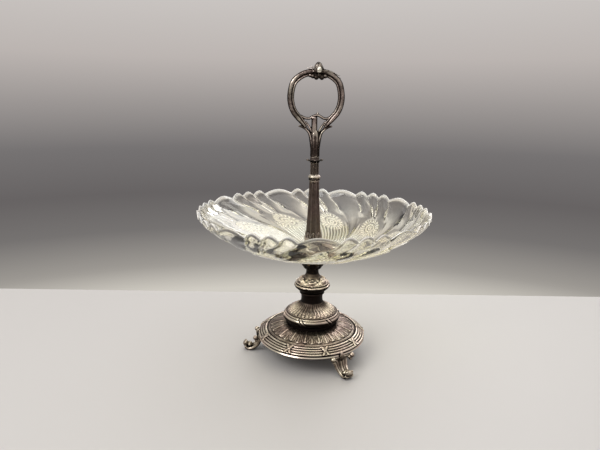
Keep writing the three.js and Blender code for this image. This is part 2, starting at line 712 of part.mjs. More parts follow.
// Column: everything from here up turns together when the handle is unscrewed
const column = new THREE.Group();
bowl.add(column);
const SHAFT_COLUMNS = FLUTES * 2;
const SOCKET_RADIUS = INSERT_RADIUS + CLEARANCE;
const PLUG_Z = ROD_TOP_Z + PLUG_GAP;

// A flute lies between each two arrises, which keep the full radius.
function flutes(columnNumber, plain, { r, z, relief }) {
  return { radius: columnNumber % 2 === 0 ? r : r - relief, height: z };
}

function columnFootOutline() {
  const share = (t) => COLUMN_Z + COLUMN_FOOT_HEIGHT * t;
  const leaf = SHAFT_FLUTE_DEPTH;
  return [
    [ROD_HOLE, COLUMN_Z],
    [COLUMN_FOOT_RADIUS * 0.9, COLUMN_Z],
    [COLUMN_FOOT_RADIUS, share(0.08), leaf],
    [COLUMN_FOOT_RADIUS * 0.96, share(0.2), leaf * 1.4],
    [SHAFT_BOTTOM_RADIUS + COLUMN_FOOT_BEAD, share(0.36), leaf],
    [SHAFT_BOTTOM_RADIUS + COLUMN_FOOT_WAIST, share(0.62)],
    [SHAFT_BOTTOM_RADIUS + COLUMN_FOOT_BEAD, share(0.84)],
    [SHAFT_BOTTOM_RADIUS + COLUMN_FOOT_WAIST, SHAFT_Z],
    [SOCKET_RADIUS, SHAFT_Z],
    [SOCKET_RADIUS, INSERT_Z],
    [ROD_HOLE, INSERT_Z],
  ];
}
add('column_foot', revolve(columnFootOutline(), SHAFT_COLUMNS, valleys(2)), darkSilver, column);
add('thread_insert', washer(ROD_HOLE, INSERT_RADIUS, INSERT_Z, THREAD_LENGTH), brass, column);

function shaftOutline() {
  const flute = SHAFT_FLUTE_DEPTH;
  const socketZ = BEADS_Z - SPIGOT_DEPTH - CLEARANCE;
  const bellyRadius = THREE.MathUtils.lerp(SHAFT_BOTTOM_RADIUS, SHAFT_TOP_RADIUS, 0.4);
  return [
    [0, PLUG_Z],
    [INSERT_RADIUS, PLUG_Z],
    [INSERT_RADIUS, SHAFT_Z],
    [SHAFT_BOTTOM_RADIUS, SHAFT_Z],
    [SHAFT_BOTTOM_RADIUS, SHAFT_Z + FLUTE_MARGIN, flute],
    [bellyRadius - SHAFT_HOLLOWING, SHAFT_Z + SHAFT_LENGTH * 0.4, flute],
    [SHAFT_TOP_RADIUS, BEADS_Z - FLUTE_MARGIN, flute],
    [SHAFT_TOP_RADIUS, BEADS_Z],
    [SPIGOT_HOLE, BEADS_Z],
    [SPIGOT_HOLE, socketZ],
    [0, socketZ],
  ];
}
add('column_shaft', revolve(shaftOutline(), SHAFT_COLUMNS, flutes), darkSilver, column);

// Two beads, one on the other, round the spigot of the piece above
function beadCollarOutline() {
  const middle = (BEADS_Z + MID_Z) / 2;
  const neck = COLLAR_BEAD_RADIUS - BEAD_SWELL;
  return [
    [SPIGOT_HOLE, BEADS_Z],
    ...swell([neck, BEADS_Z], [neck, middle], BEAD_SWELL, 4),
    ...swell([neck, middle], [neck * 0.94, MID_Z], BEAD_SWELL * 0.9, 4),
    [neck * 0.94, MID_Z],
    [SPIGOT_HOLE, MID_Z],
  ];
}
add('bead_collar', revolve(beadCollarOutline(), SHAFT_COLUMNS), darkSilver, column);

function midShaftOutline() {
  const flute = SHAFT_FLUTE_DEPTH;
  const socketZ = BUDS_Z - SPIGOT_DEPTH - CLEARANCE;
  return [
    [0, BEADS_Z - SPIGOT_DEPTH],
    [SPIGOT_RADIUS, BEADS_Z - SPIGOT_DEPTH],
    [SPIGOT_RADIUS, MID_Z],
    [MID_RADIUS, MID_Z],
    [MID_RADIUS, MID_Z + FLUTE_MARGIN, flute],
    [MID_RADIUS * 0.96, BUDS_Z - FLUTE_MARGIN, flute],
    [MID_RADIUS * 0.96, BUDS_Z],
    [SPIGOT_HOLE, BUDS_Z],
    [SPIGOT_HOLE, socketZ],
    [0, socketZ],
  ];
}
add('mid_shaft', revolve(midShaftOutline(), SHAFT_COLUMNS, flutes), darkSilver, column);

// Collar with projecting leaf buds all round
function leafCollarSolid() {
  const middle = (BUDS_Z + HANDLE_Z) / 2;
  const neck = LEAF_COLLAR_RADIUS - BUD_BALL - LEAF_COLLAR_SWELL;
  const ring = revolve([
    [SPIGOT_HOLE, BUDS_Z],
    ...swell([neck, BUDS_Z], [neck, HANDLE_Z], LEAF_COLLAR_SWELL, 4),
    [neck, HANDLE_Z],
    [SPIGOT_HOLE, HANDLE_Z],
  ], SHAFT_COLUMNS);
  const reach = LEAF_COLLAR_RADIUS - BUD_BALL;
  const buds = Array.from({ length: BUDS }, (_, i) => {
    const angle = (i * 2 * Math.PI) / BUDS;
    return ball(BUD_BALL, reach * Math.cos(angle), reach * Math.sin(angle), middle);
  });
  return join(ring, ...buds);
}
add('leaf_collar', leafCollarSolid(), darkSilver, column);

// Loop handle: a fork carries two ribbed branches that close in a ring, with a wavy bridge on a post
const STRAP_SECTION = [
  [-1, -0.5],
  [-0.6, -1],
  [0, -0.6],
  [0.6, -1],
  [1, -0.5],
  [1, 0.5],
  [0.6, 1],
  [0, 0.6],
  [-0.6, 1],
  [-1, 0.5],
];

// Right half of the ring's middle line, from the fork to below its top, in shares of its reach and height
const HALF_LOOP = [
  [0.33, 0.13],
  [0.645, 0.286],
  [0.846, 0.384],
  [0.965, 0.5],
  [1, 0.643],
  [0.912, 0.821],
  [0.715, 0.916],
  [0.408, 0.982],
];

function loopPath() {
  const half = [
    new THREE.Vector3(BRANCH_SPREAD, 0, FORK_Z),
    ...HALF_LOOP.map(([reach, rise]) =>
      new THREE.Vector3(LOOP_RADIUS * reach, 0, THREE.MathUtils.lerp(FORK_Z, LOOP_Z, rise))),
  ];
  const mirrored = half.map((point) => new THREE.Vector3(-point.x, 0, point.z)).reverse();
  return new THREE.CatmullRomCurve3([...half, new THREE.Vector3(0, 0, LOOP_Z), ...mirrored]);
}

// The branches are slim where they leave the fork.
function branchTaper(travel) {
  const fromEnd = Math.min(travel, 1 - travel, TAPER_TRAVEL);
  return THREE.MathUtils.lerp(BRANCH_TAPER, 1, fromEnd / TAPER_TRAVEL);
}

function along(path, width, thickness, taper = () => 1) {
  return (across, out, travel) => {
    const at = path.getPointAt(travel);
    const tangent = path.getTangentAt(travel);
    const half = (width * taper(travel)) / 2;
    const x = at.x + tangent.z * across * half;
    const z = at.z - tangent.x * across * half;
    return new THREE.Vector3(x, at.y + (out * thickness) / 2, z);
  };
}

const BAR_SIDES = 6;
const BAR_SECTION = Array.from({ length: BAR_SIDES }, (_, i) => [
  Math.cos((i * 2 * Math.PI) / BAR_SIDES),
  Math.sin((i * 2 * Math.PI) / BAR_SIDES),
]);

function bridgePath() {
  const z = HANDLE_Z + BRIDGE_RISE;
  const reach = LOOP_RADIUS - STRAP_WIDTH * 0.8;
  return new THREE.CatmullRomCurve3([
    new THREE.Vector3(-reach, 0, z + BRIDGE_WAVE * 1.6),
    new THREE.Vector3(-reach * 0.6, 0, z - BRIDGE_WAVE),
    new THREE.Vector3(BUMP_OFFSET - reach / 4, 0, z - BRIDGE_WAVE * 0.3),
    new THREE.Vector3(BUMP_OFFSET, 0, z + BRIDGE_WAVE),
    new THREE.Vector3(BUMP_OFFSET + reach / 4, 0, z - BRIDGE_WAVE * 0.3),
    new THREE.Vector3(reach * 0.6, 0, z - BRIDGE_WAVE),
    new THREE.Vector3(reach, 0, z + BRIDGE_WAVE * 1.6),
  ]);
}

// The fork widens in X as it rises, and keeps its depth.
function forkShape() {
  const share = (t) => THREE.MathUtils.lerp(HANDLE_Z, FORK_Z, t);
  const outline = [
    [0, BUDS_Z - SPIGOT_DEPTH],
    [SPIGOT_RADIUS, BUDS_Z - SPIGOT_DEPTH],
    [SPIGOT_RADIUS, HANDLE_Z],
    [FORK_RADIUS, HANDLE_Z],
    [FORK_RADIUS * 1.08, share(0.34)],
    [FORK_RADIUS * 1.15, share(0.66), FORK_SPREAD / 8],
    [FORK_RADIUS, FORK_Z, FORK_SPREAD / 2],
    [FORK_RADIUS * 0.6, share(1.2), FORK_SPREAD],
    [0, share(1.3)],
  ];
  return revolve(outline, 16, (columnNumber, plain, { r, z, relief }) => {
    const x = (r + relief) * Math.cos(plain);
    const y = r * Math.sin(plain);
    return { radius: Math.hypot(x, y), height: z, angle: Math.atan2(y, x) };
  });
}

// A pointed leaf clasps each branch from outside.
function leafTipShape(side) {
  const root = (HANDLE_Z + FORK_Z) / 2;
  const tip = HANDLE_Z + LEAF_TIP_RISE;
  const back = LEAF_TIP_REACH - LEAF_TIP_LENGTH;
  const belly = LEAF_TIP_LENGTH / 2;
  const outline = new THREE.Shape();
  outline.moveTo(side * FORK_RADIUS * 0.75, root);
  outline.quadraticCurveTo(side * FORK_RADIUS * 1.2, tip - belly, side * LEAF_TIP_REACH, tip);
  outline.quadraticCurveTo(side * back, tip - belly / 2, side * FORK_RADIUS * 1.1, FORK_Z + belly / 2);
  outline.lineTo(side * FORK_RADIUS * 0.3, root + belly);
  const depth = STRAP_THICKNESS * 0.8;
  const leaf = new THREE.ExtrudeGeometry(outline, { depth, curveSegments: 5, bevelEnabled: false });
  leaf.rotateX(Math.PI / 2);
  leaf.translate(0, depth / 2, 0);
  return leaf;
}

const SEAT_Z = LOOP_Z + STRAP_WIDTH / 2 - FINIAL_SEAT_SINK;

function handleSolid() {
  const loop = sweep(STRAP_SECTION, 40, along(loopPath(), STRAP_WIDTH, STRAP_THICKNESS, branchTaper));
  const bridge = sweep(BAR_SECTION, 14, along(bridgePath(), BRIDGE_THICKNESS, BRIDGE_THICKNESS * 1.4));
  const bridgeTop = HANDLE_Z + BRIDGE_RISE + BRIDGE_WAVE;
  const post = bar(POST_RADIUS, FORK_Z, bridgeTop - BRIDGE_WAVE / 2, 10);
  post.translate(POST_OFFSET, 0, 0);
  const beadZ = bridgeTop + (BRIDGE_THICKNESS + POST_BEAD) / 2;
  const bead = ball(POST_BEAD, BUMP_OFFSET, 0, beadZ, [1, 1, 1], 6, 4);
  const berryZ = LOOP_Z - STRAP_WIDTH / 2 - BERRY_RADIUS * 0.35;
  const berries = [-1, 0, 1].map((i) =>
    ball(BERRY_RADIUS, FINIAL_OFFSET + i * BERRY_RADIUS * 1.7, 0, berryZ, [1, BERRY_DEPTH, 1]));
  const whole = join(loop, forkShape(), bridge, post, bead, leafTipShape(1), leafTipShape(-1), ...berries);
  const half = FINIAL_SEAT_WIDTH / 2;
  const seatX = [FINIAL_OFFSET - half, FINIAL_OFFSET + half];
  const seat = box(seatX, [-half, half], [SEAT_Z, SEAT_Z + STRAP_WIDTH]);
  const holeZ = SEAT_Z - FINIAL_PEG_LENGTH - CLEARANCE;
  const hole = bar(FINIAL_PEG_RADIUS + CLEARANCE, holeZ, SEAT_Z + STRAP_WIDTH, 10);
  hole.translate(FINIAL_OFFSET, 0, 0);
  return whole.subtract(toSolid(seat)).subtract(toSolid(hole));
}
add('loop_handle', handleSolid(), darkSilver, column);

// Finial: a bud on a peg, with a long leaf to the right and a short one to the left
const FINIAL_LEAF_SECTION = [
  [-1, -0.7],
  [1, -0.7],
  [0.6, 0.4],
  [0, 0.9],
  [-0.6, 0.4],
];

// A leaf lies along the outside of the ring, over a span given in shares of the ring's path.
function finialLeaf([from, to], width) {
  const path = loopPath();
  const rise = STRAP_WIDTH / 2 + CLEARANCE + FINIAL_LEAF_RISE;
  return sweep(FINIAL_LEAF_SECTION, 8, (across, out, travel) => {
    const at = path.getPointAt(THREE.MathUtils.lerp(from, to, travel));
    const tangent = path.getTangentAt(THREE.MathUtils.lerp(from, to, travel));
    const slim = Math.sqrt(Math.max(1 - travel * travel, 0.02));
    const reach = rise + out * Math.max(slim, 0.4);
    return new THREE.Vector3(at.x + tangent.z * reach, (across * width * slim) / 2, at.z - tangent.x * reach);
  });
}

function finialSolid() {
  const pegFoot = SEAT_Z - FINIAL_PEG_LENGTH;
  const bud = revolve([
    [0, pegFoot],
    [FINIAL_PEG_RADIUS, pegFoot],
    [FINIAL_PEG_RADIUS, SEAT_Z],
    [BUD_RADIUS * 0.82, SEAT_Z],
    [BUD_RADIUS, SEAT_Z + BUD_HEIGHT * 0.38],
    [BUD_RADIUS * 0.88, SEAT_Z + BUD_HEIGHT * 0.62],
    [BUD_RADIUS * 0.53, SEAT_Z + BUD_HEIGHT * 0.85],
    [0, SEAT_Z + BUD_HEIGHT],
  ], 12);
  bud.translate(FINIAL_OFFSET, 0, 0);
  const longLeaf = finialLeaf(LONG_LEAF_SPAN, LONG_LEAF_WIDTH);
  const shortLeaf = finialLeaf(SHORT_LEAF_SPAN, SHORT_LEAF_WIDTH);
  return join(bud, longLeaf, shortLeaf);
}
add('finial', finialSolid(), darkSilver, column);

export default bowl;
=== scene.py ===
import math

import bmesh
import bpy
import numpy as np
from mathutils import Matrix, Vector


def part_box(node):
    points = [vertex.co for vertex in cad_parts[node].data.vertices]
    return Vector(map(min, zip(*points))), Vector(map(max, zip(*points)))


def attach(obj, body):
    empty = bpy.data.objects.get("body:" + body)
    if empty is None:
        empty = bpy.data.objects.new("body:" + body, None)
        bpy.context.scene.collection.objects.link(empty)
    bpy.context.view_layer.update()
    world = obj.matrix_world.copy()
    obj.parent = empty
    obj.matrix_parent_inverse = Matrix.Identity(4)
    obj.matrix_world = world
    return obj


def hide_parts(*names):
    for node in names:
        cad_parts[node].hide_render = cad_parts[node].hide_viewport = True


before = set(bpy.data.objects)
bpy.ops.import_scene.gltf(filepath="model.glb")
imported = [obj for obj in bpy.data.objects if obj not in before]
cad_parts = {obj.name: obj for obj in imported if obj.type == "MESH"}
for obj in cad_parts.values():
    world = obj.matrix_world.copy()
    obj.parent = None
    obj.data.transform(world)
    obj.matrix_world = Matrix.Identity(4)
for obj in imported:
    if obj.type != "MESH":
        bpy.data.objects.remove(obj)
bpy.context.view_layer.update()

MM = 0.001
TURN = 2 * math.pi
FRONT = math.radians(-90)

# How finely shapes are drawn
FINE_STEP = 0.33
PLAIN_STEP = 1.2
BALL_RINGS = 14
BALL_COLUMNS = 20
ROUND_POINTS = 20
SHARP_ANGLE = math.radians(38)


def foot_of(node):
    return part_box(node)[0].z / MM


def top_of(node):
    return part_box(node)[1].z / MM


# Heights where the stacked pieces meet, as the frame has them
RIM_Z = foot_of("base_dome")
COLLAR_Z = top_of("base_dome")
STEM_Z = top_of("stem_trumpet")
NECK_Z = top_of("knop")
DISH_Z = top_of("cup_washer")
DISH_TOP_Z = top_of("hole_sleeve")
COLUMN_Z = top_of("column_washer")
SHAFT_Z = top_of("column_foot")
BEADS_Z = foot_of("bead_collar")
MID_Z = top_of("bead_collar")
BUDS_Z = foot_of("leaf_collar")
HANDLE_Z = top_of("leaf_collar")

ROD_HOLE = 3.3
SPIGOT_HOLE = 2.5


# Shapes as grids of points
def smooth(value, low=0.0, high=1.0):
    """0 below low, 1 above high, and a smooth rise between them."""
    t = np.clip((value - low) / (high - low), 0, 1)
    return t * t * (3 - 2 * t)


def ridge(value, width):
    """1 at zero, falling smoothly to nothing over about two widths."""
    return np.exp(-((value / width) ** 2))


def full_turn(count):
    return np.arange(count) * TURN / count


def gathered(*values):
    """Points from their coordinates, each given as a number or an array."""
    return np.stack(np.broadcast_arrays(*values), axis=-1)


def lifted(level, *points):
    """Points (across, up) at their heights above a level."""
    return [(across, level + up) for across, up in points]


def curve(points, step):
    """A smooth line through the points, sampled about a step apart."""
    points = np.array(points, float)
    ends = 2 * points[[0, -1]] - points[[1, -2]]
    padded = np.vstack([ends[:1], points, ends[1:]])
    pieces = []
    for before, start, end, after in zip(padded, padded[1:], padded[2:], padded[3:]):
        count = max(1, round(np.linalg.norm(end - start) / step))
        t = np.arange(count)[:, None] / count
        bend = (2 * before - 5 * start + 4 * end - after) * t**2
        bend = bend + (3 * start - before - 3 * end + after) * t**3
        pieces.append(start + ((end - before) * t + bend) / 2)
    return np.vstack([*pieces, points[-1:]])


def directions(line):
    along = np.gradient(line, axis=0)
    return along / np.linalg.norm(along, axis=1)[:, None]


def stretches(outline):
    """The closed outline as (points, relief) pairs, with straight ones where its parts don't meet."""
    parts = []
    for part in outline:
        with_relief = isinstance(part[0], list)
        points = part if isinstance(part, list) else [part]
        parts.append(part if with_relief else (points, None))
    pairs = []
    for (points, relief), (following, _) in zip(parts, parts[1:] + parts[:1]):
        if len(points) > 1:
            pairs.append((points, relief))
        if points[-1] != following[0]:
            pairs.append(([points[-1], following[0]], None))
    return pairs


def turned(outline, columns):
    """Rings of a closed outline turned about +Z. It runs counter-clockwise, and a part of it is a corner,
    a list of points for a smooth stretch, or (points, relief), with the lift in mm for any angle, share
    of the way and radius."""
    angle = full_turn(columns)[None, :]
    rings = []
    for points, relief in stretches(outline):
        straight = relief is None and len(points) == 2
        step = FINE_STEP if relief else PLAIN_STEP
        line = np.array(points, float) if straight else curve(points, step)
        along = directions(line)
        radius = line[:, :1]
        share = np.linspace(0, 1, len(line))[:, None]
        lift = relief(angle, share, radius) if relief else 0 * angle
        radius = radius + along[:, 1:] * lift
        height = line[:, 1:] - along[:, :1] * lift
        rings.append(gathered(radius * np.cos(angle), radius * np.sin(angle), height)[:-1])
    return np.concatenate(rings), True


def swept(path, section, step=0.3):
    """A bar along a smooth path in the X-Z plane. section gives, for a share of the way, its outline
    as rows of (across in Y, off the path), counter-clockwise."""
    line = curve(path, step)
    rings = []
    for share, (x, z), (dx, dz) in zip(np.linspace(0, 1, len(line)), line, directions(line)):
        across, off = np.array(section(share), float).T
        rings.append(gathered(x - dz * off, across, z + dx * off))
    return np.array(rings), False


def ball(radius, centre, stretch=(1, 1, 1)):
    latitude = np.linspace(-0.49, 0.49, BALL_RINGS)[:, None] * math.pi
    longitude = full_turn(BALL_COLUMNS)[None, :]
    x = np.cos(latitude) * np.cos(longitude)
    y = np.cos(latitude) * np.sin(longitude)
    return np.array(centre) + gathered(x, y, np.sin(latitude)) * radius * np.array(stretch), False


def moved(shape, turn, x=0.0):
    """A shape set off along X, then turned about +Z."""
    grid, closed = shape
    grid = grid + np.array([x, 0, 0])
    cosine, sine = math.cos(turn), math.sin(turn)
    return grid @ np.array([[cosine, sine, 0], [-sine, cosine, 0], [0, 0, 1]]), closed


def round_about(shape, count, turn=0.0):
    return [moved(shape, step + turn) for step in full_turn(count)]


# Pieces made of grids
def linked(name, data):
    made = bpy.data.objects.new(name, data)
    bpy.context.scene.collection.objects.link(made)
    return made


def mesh_piece(name, shapes, sharp=SHARP_ANGLE):
    """One object made of grids. A grid that isn't closed end to end gets a face over each end."""
    points, faces, start = [], [], 0
    for grid, closed in shapes:
        rows, columns = grid.shape[:2]
        index = start + np.arange(rows * columns).reshape(rows, columns)
        around_ring = np.roll(index, -1, axis=1)
        ahead = np.roll(index, -1, axis=0)
        quads = gathered(index, around_ring, np.roll(around_ring, -1, axis=0), ahead)
        faces += (quads if closed else quads[:-1]).reshape(-1, 4).tolist()
        if not closed:
            faces += [index[0, ::-1].tolist(), index[-1].tolist()]
        points.append(grid.reshape(-1, 3) * MM)
        start += rows * columns
    mesh = bpy.data.meshes.new(name)
    mesh.from_pydata(np.vstack(points).tolist(), [], faces)
    mesh.update()
    mesh.shade_smooth()
    mesh.set_sharp_from_angle(angle=sharp)
    return linked(name, mesh)


def chased(name, *shapes):
    """A spun metal piece made of grids, marked for its wear."""
    made = mesh_piece(name, shapes)
    mark_raised(made, passes=14, full=0.3)
    return made


def cast(name, shapes, voxel, softening):
    """Overlapping shapes melted into one skin, like a casting, and marked for its wear."""
    rough = mesh_piece(name + "_rough", shapes)
    melt = rough.modifiers.new("melt", "REMESH")
    melt.mode = "VOXEL"
    melt.voxel_size = voxel * MM
    soften = rough.modifiers.new("soften", "SMOOTH")
    soften.factor = 0.5
    soften.iterations = softening
    graph = bpy.context.evaluated_depsgraph_get()
    mesh = bpy.data.meshes.new_from_object(rough.evaluated_get(graph))
    mesh.name = name
    mesh.shade_smooth()
    bpy.data.objects.remove(rough)
    made = linked(name, mesh)
    mark_raised(made, passes=45, full=0.5)
    return made


def read(items, field, width, kind=float):
    """A field of every item, in rows of that width."""
    values = np.empty(len(items) * width, kind)
    items.foreach_get(field, values)
    return values.reshape(-1, width)


def mark_raised(made, passes, full):
    """Stores on each point how far it stands out of its softened surroundings, where 0.5 is level."""
    mesh = made.data
    points = read(mesh.vertices, "co", 3) / MM
    ends = read(mesh.edges, "vertices", 2, int)
    first, second = ends.T
    count = len(points)
    met = np.bincount(ends.ravel(), minlength=count)[:, None]
    level = points
    near = np.empty_like(points)
    for _ in range(passes):
        for axis in range(3):
            near[:, axis] = np.bincount(first, level[second, axis], count)
            near[:, axis] += np.bincount(second, level[first, axis], count)
        level = (level + near / met) / 2
    standing = ((points - level) * read(mesh.vertices, "normal", 3)).sum(axis=1)
    relief_and_painted_light = mesh.attributes.new("relief_and_painted_light", "FLOAT", "POINT")
    relief_and_painted_light.data.foreach_set("value", np.clip(0.5 + standing / full / 2, 0, 1))


def paint_light_and_shade(made, *places, rings=False):
    """Paints light and shade on a piece: a painted highlight near each (x, z, reach, change), and painted
    shade where change is below zero. With rings, x is a radius and the place is the whole ring."""
    x, y, z = read(made.data.vertices, "co", 3).T / MM
    relief_and_painted_light = made.data.attributes["relief_and_painted_light"].data
    values = read(relief_and_painted_light, "value", 1)[:, 0]
    across = np.hypot(x, y) if rings else x
    for place, height, reach, change in places:
        values *= 1 + change * ridge(np.hypot(across - place, z - height), reach)
    relief_and_painted_light.foreach_set("value", values)
    return made


def dress(piece, body, slot, finish, node):
    """Gives a piece its material and body, and puts it in place of its node. slot is not used."""
    piece.data.materials.append(finish)
    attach(piece, body)
    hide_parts(node)


# Materials
MIX_FIRST, MIX_SECOND, MIX_RESULT = 6, 7, 2


def feed(tree, node, inputs):
    """Links each input that is a socket and sets each one that is a value."""
    for key, value in inputs.items():
        if isinstance(value, bpy.types.NodeSocket):
            tree.links.new(value, node.inputs[key])
        else:
            node.inputs[key].default_value = value


def add_node(tree, kind, inputs=None, **settings):
    made = tree.nodes.new(kind)
    for key, value in settings.items():
        setattr(made, key, value)
    feed(tree, made, inputs or {})
    return made


def new_material(name):
    made = bpy.data.materials.new(name)
    made.use_nodes = True
    tree = made.node_tree
    return made, tree, tree.nodes["Principled BSDF"]


def math_node(tree, operation, first, second):
    return add_node(tree, "ShaderNodeMath", {0: first, 1: second}, operation=operation).outputs[0]


def noise(tree, place, scale, detail=4.0):
    inputs = {"Vector": place, "Scale": scale, "Detail": detail}
    return add_node(tree, "ShaderNodeTexNoise", inputs).outputs[0]


def spread(tree, value, low, high, to_low=0.0, to_high=1.0):
    inputs = {"Value": value, "From Min": low, "From Max": high, "To Min": to_low, "To Max": to_high}
    return add_node(tree, "ShaderNodeMapRange", inputs, interpolation_type="SMOOTHSTEP").outputs[0]


def ramp(tree, value, stops):
    made = add_node(tree, "ShaderNodeValToRGB", {"Fac": value})
    bar = made.color_ramp
    while len(bar.elements) < len(stops):
        bar.elements.new(0.5)
    for element, (position, colour) in zip(bar.elements, stops):
        element.position = position
        element.color = (*colour, 1)
    return made.outputs["Color"]


def bumped(tree, height, strength, distance):
    """A normal that follows a height, with the distance in millimetres."""
    inputs = {"Height": height, "Strength": strength, "Distance": distance * MM}
    return add_node(tree, "ShaderNodeBump", inputs).outputs[0]


def coordinate(tree, kind):
    return add_node(tree, "ShaderNodeTexCoord").outputs[kind]


def attribute(tree, name):
    return add_node(tree, "ShaderNodeAttribute", attribute_name=name).outputs["Fac"]


def painted_facing_light(tree, axis, low, high, least):
    """Painted light and shade by facing: 1 where a face looks along the axis, as faces lit from there, and
    least where it doesn't, as faces in shade. Along X and Y, faces that look down count less."""
    parts = add_node(tree, "ShaderNodeSeparateXYZ", {"Vector": coordinate(tree, "Normal")}).outputs
    if axis == "Z":
        return spread(tree, parts["Z"], low, high, least)
    facing = spread(tree, math_node(tree, "ABSOLUTE", parts[axis], 0.0), low, high, least)
    return math_node(tree, "MULTIPLY", facing, spread(tree, parts["Z"], -0.75, -0.1, least))


def tarnished_metal(name, hollow, dull, bright, polish, lit_facing):
    """Old silver plate: black with tarnish in the hollows, dull on the flats, bright where it stands up and
    is worn, with painted shade from ambient occlusion under ledges and near other parts, and painted light
    and shade by which way a face looks. polish is the roughness of its brightest parts, and the last argument
    says which faces are painted lighter."""
    made, tree, shader = new_material(name)
    place = coordinate(tree, "Object")
    # Painted shade: ambient occlusion darkens the colour in hollows, under ledges and near other parts, such
    # as the neck under the glass dish.
    open_air = add_node(tree, "ShaderNodeAmbientOcclusion", {"Distance": 14 * MM}, samples=8).outputs["AO"]
    painted_occlusion_shade = spread(tree, open_air, 0.1, 0.62, to_low=0.2)
    specks = noise(tree, place, scale=500, detail=2)
    cloudy = spread(tree, noise(tree, place, scale=70), 0.3, 0.7, -0.08, 0.08)
    speckled = spread(tree, specks, 0.3, 0.7, -0.04, 0.04)
    # The relief measure also carries the painted highlights and shade set on each piece, and the facing
    # factor below paints light and shade by which way a face looks.
    height = math_node(tree, "ADD", attribute(tree, "relief_and_painted_light"), math_node(tree, "ADD", cloudy, speckled))
    relief_with_painted_shade = math_node(tree, "MULTIPLY", height, painted_occlusion_shade)
    wear_and_painted_light = math_node(tree, "MULTIPLY", relief_with_painted_shade, painted_facing_light(tree, *lit_facing))
    colour = ramp(tree, wear_and_painted_light, [(0.16, hollow), (0.5, dull), (0.76, bright)])
    warm, cool = (1, 0.91, 0.9), (0.95, 0.97, 0.88)
    tint = ramp(tree, noise(tree, place, scale=45, detail=3), [(0.38, warm), (0.62, cool)])
    both = {"Factor": 1.0, MIX_FIRST: colour, MIX_SECOND: tint}
    tinted = add_node(tree, "ShaderNodeMix", both, data_type="RGBA", blend_type="MULTIPLY")
    feed(tree, shader, {
        "Base Color": tinted.outputs[MIX_RESULT],
        "Roughness": spread(tree, wear_and_painted_light, 0.1, 0.85, 0.55, polish),
        "Metallic": 1.0,
        "Normal": bumped(tree, specks, strength=0.12, distance=0.2),
    })
    return made


def pressed_glass():
    """Clear old glass, yellow-green in the thickness, white and rough where the mould's fine lines are, and
    white as a painted highlight along its seams and lip.
    """
    made, tree, shader = new_material("pressed_glass")
    place = coordinate(tree, "Object")
    frost_and_painted_highlight = attribute(tree, "frost_and_painted_highlight")
    yellow, grey = (0.99, 0.945, 0.885), (0.965, 0.957, 0.925)
    stain = spread(tree, noise(tree, place, scale=60), 0.3, 0.7, 0.0, 0.02)
    feed(tree, shader, {
        "Base Color": ramp(tree, noise(tree, place, scale=28, detail=2), [(0.4, yellow), (0.6, grey)]),
        "IOR": 1.5,
        "Transmission Weight": spread(tree, frost_and_painted_highlight, 0.0, 1.0, 1.0, 0.1),
        "Roughness": math_node(tree, "ADD", stain, spread(tree, frost_and_painted_highlight, 0.0, 1.0, 0.004, 0.25)),
        "Normal": bumped(tree, noise(tree, place, scale=120, detail=2), strength=0.1, distance=0.6),
    })
    tint = add_node(tree, "ShaderNodeVolumeAbsorption", {"Color": (0.96, 0.93, 0.68, 1), "Density": 34.0})
    clear = add_node(tree, "ShaderNodeBsdfTransparent", {"Color": (0.86, 0.88, 0.84, 1)})
    shadow = add_node(tree, "ShaderNodeLightPath").outputs["Is Shadow Ray"]
    mixed = add_node(tree, "ShaderNodeMixShader", {0: shadow, 1: shader.outputs[0], 2: clear.outputs[0]})
    feed(tree, tree.nodes["Material Output"], {"Surface": mixed.outputs[0], "Volume": tint.outputs[0]})
    return made


def cork_material():
    made, tree, shader = new_material("cork_packing")
    place = coordinate(tree, "Object")
    cells = add_node(tree, "ShaderNodeTexVoronoi", {"Vector": place, "Scale": 900.0}).outputs
    dark, pale = (0.06, 0.035, 0.02), (0.2, 0.13, 0.075)
    feed(tree, shader, {
        "Base Color": ramp(tree, cells["Color"], [(0.2, dark), (0.8, pale)]),
        "Roughness": spread(tree, cells["Distance"], 0, 0.6, 0.95, 0.7),
        "Normal": bumped(tree, cells["Distance"], strength=1.0, distance=0.3),
    })
    return made


def machined_metal(name, dark, bright):
    """Plain turned metal with fine lines round it and a little staining."""
    made, tree, shader = new_material(name)
    place = coordinate(tree, "Object")
    flattened = add_node(tree, "ShaderNodeMapping", {"Vector": place, "Scale": (1, 1, 40)}).outputs[0]
    stain = spread(tree, noise(tree, place, scale=200, detail=5), 0.3, 0.6, 0.6, 1.6)
    surface = math_node(tree, "MULTIPLY", noise(tree, flattened, scale=60, detail=5), stain)
    feed(tree, shader, {
        "Base Color": ramp(tree, surface, [(0.2, dark), (0.7, bright)]),
        "Roughness": spread(tree, surface, 0.2, 0.7, 0.55, 0.32),
        "Metallic": 1.0,
        "Normal": bumped(tree, surface, strength=0.3, distance=0.1),
    })
    return made


SILVER = tarnished_metal(
    "tarnished_plate", hollow=(0.013, 0.01, 0.009), dull=(0.18, 0.142, 0.12), bright=(0.8, 0.7, 0.61),
    polish=0.22, lit_facing=("Z", -0.1, 0.65, 0.14),
)
# A lighter copy of the plate for the feet: painted light.
LIT_FOOT_SILVER = tarnished_metal(
    "lit_foot_plate", hollow=(0.014, 0.011, 0.01), dull=(0.31, 0.25, 0.21), bright=(0.9, 0.8, 0.69),
    polish=0.2, lit_facing=("Z", -0.3, 0.5, 0.35),
)
# A darker copy of the plate for the column pieces: painted shade on their upright faces.
SHADED_SILVER = tarnished_metal(
    "shaded_plate", hollow=(0.006, 0.005, 0.0045), dull=(0.15, 0.12, 0.108), bright=(0.56, 0.5, 0.44),
    polish=0.28, lit_facing=("Z", -0.25, 0.6, 0.75),
)
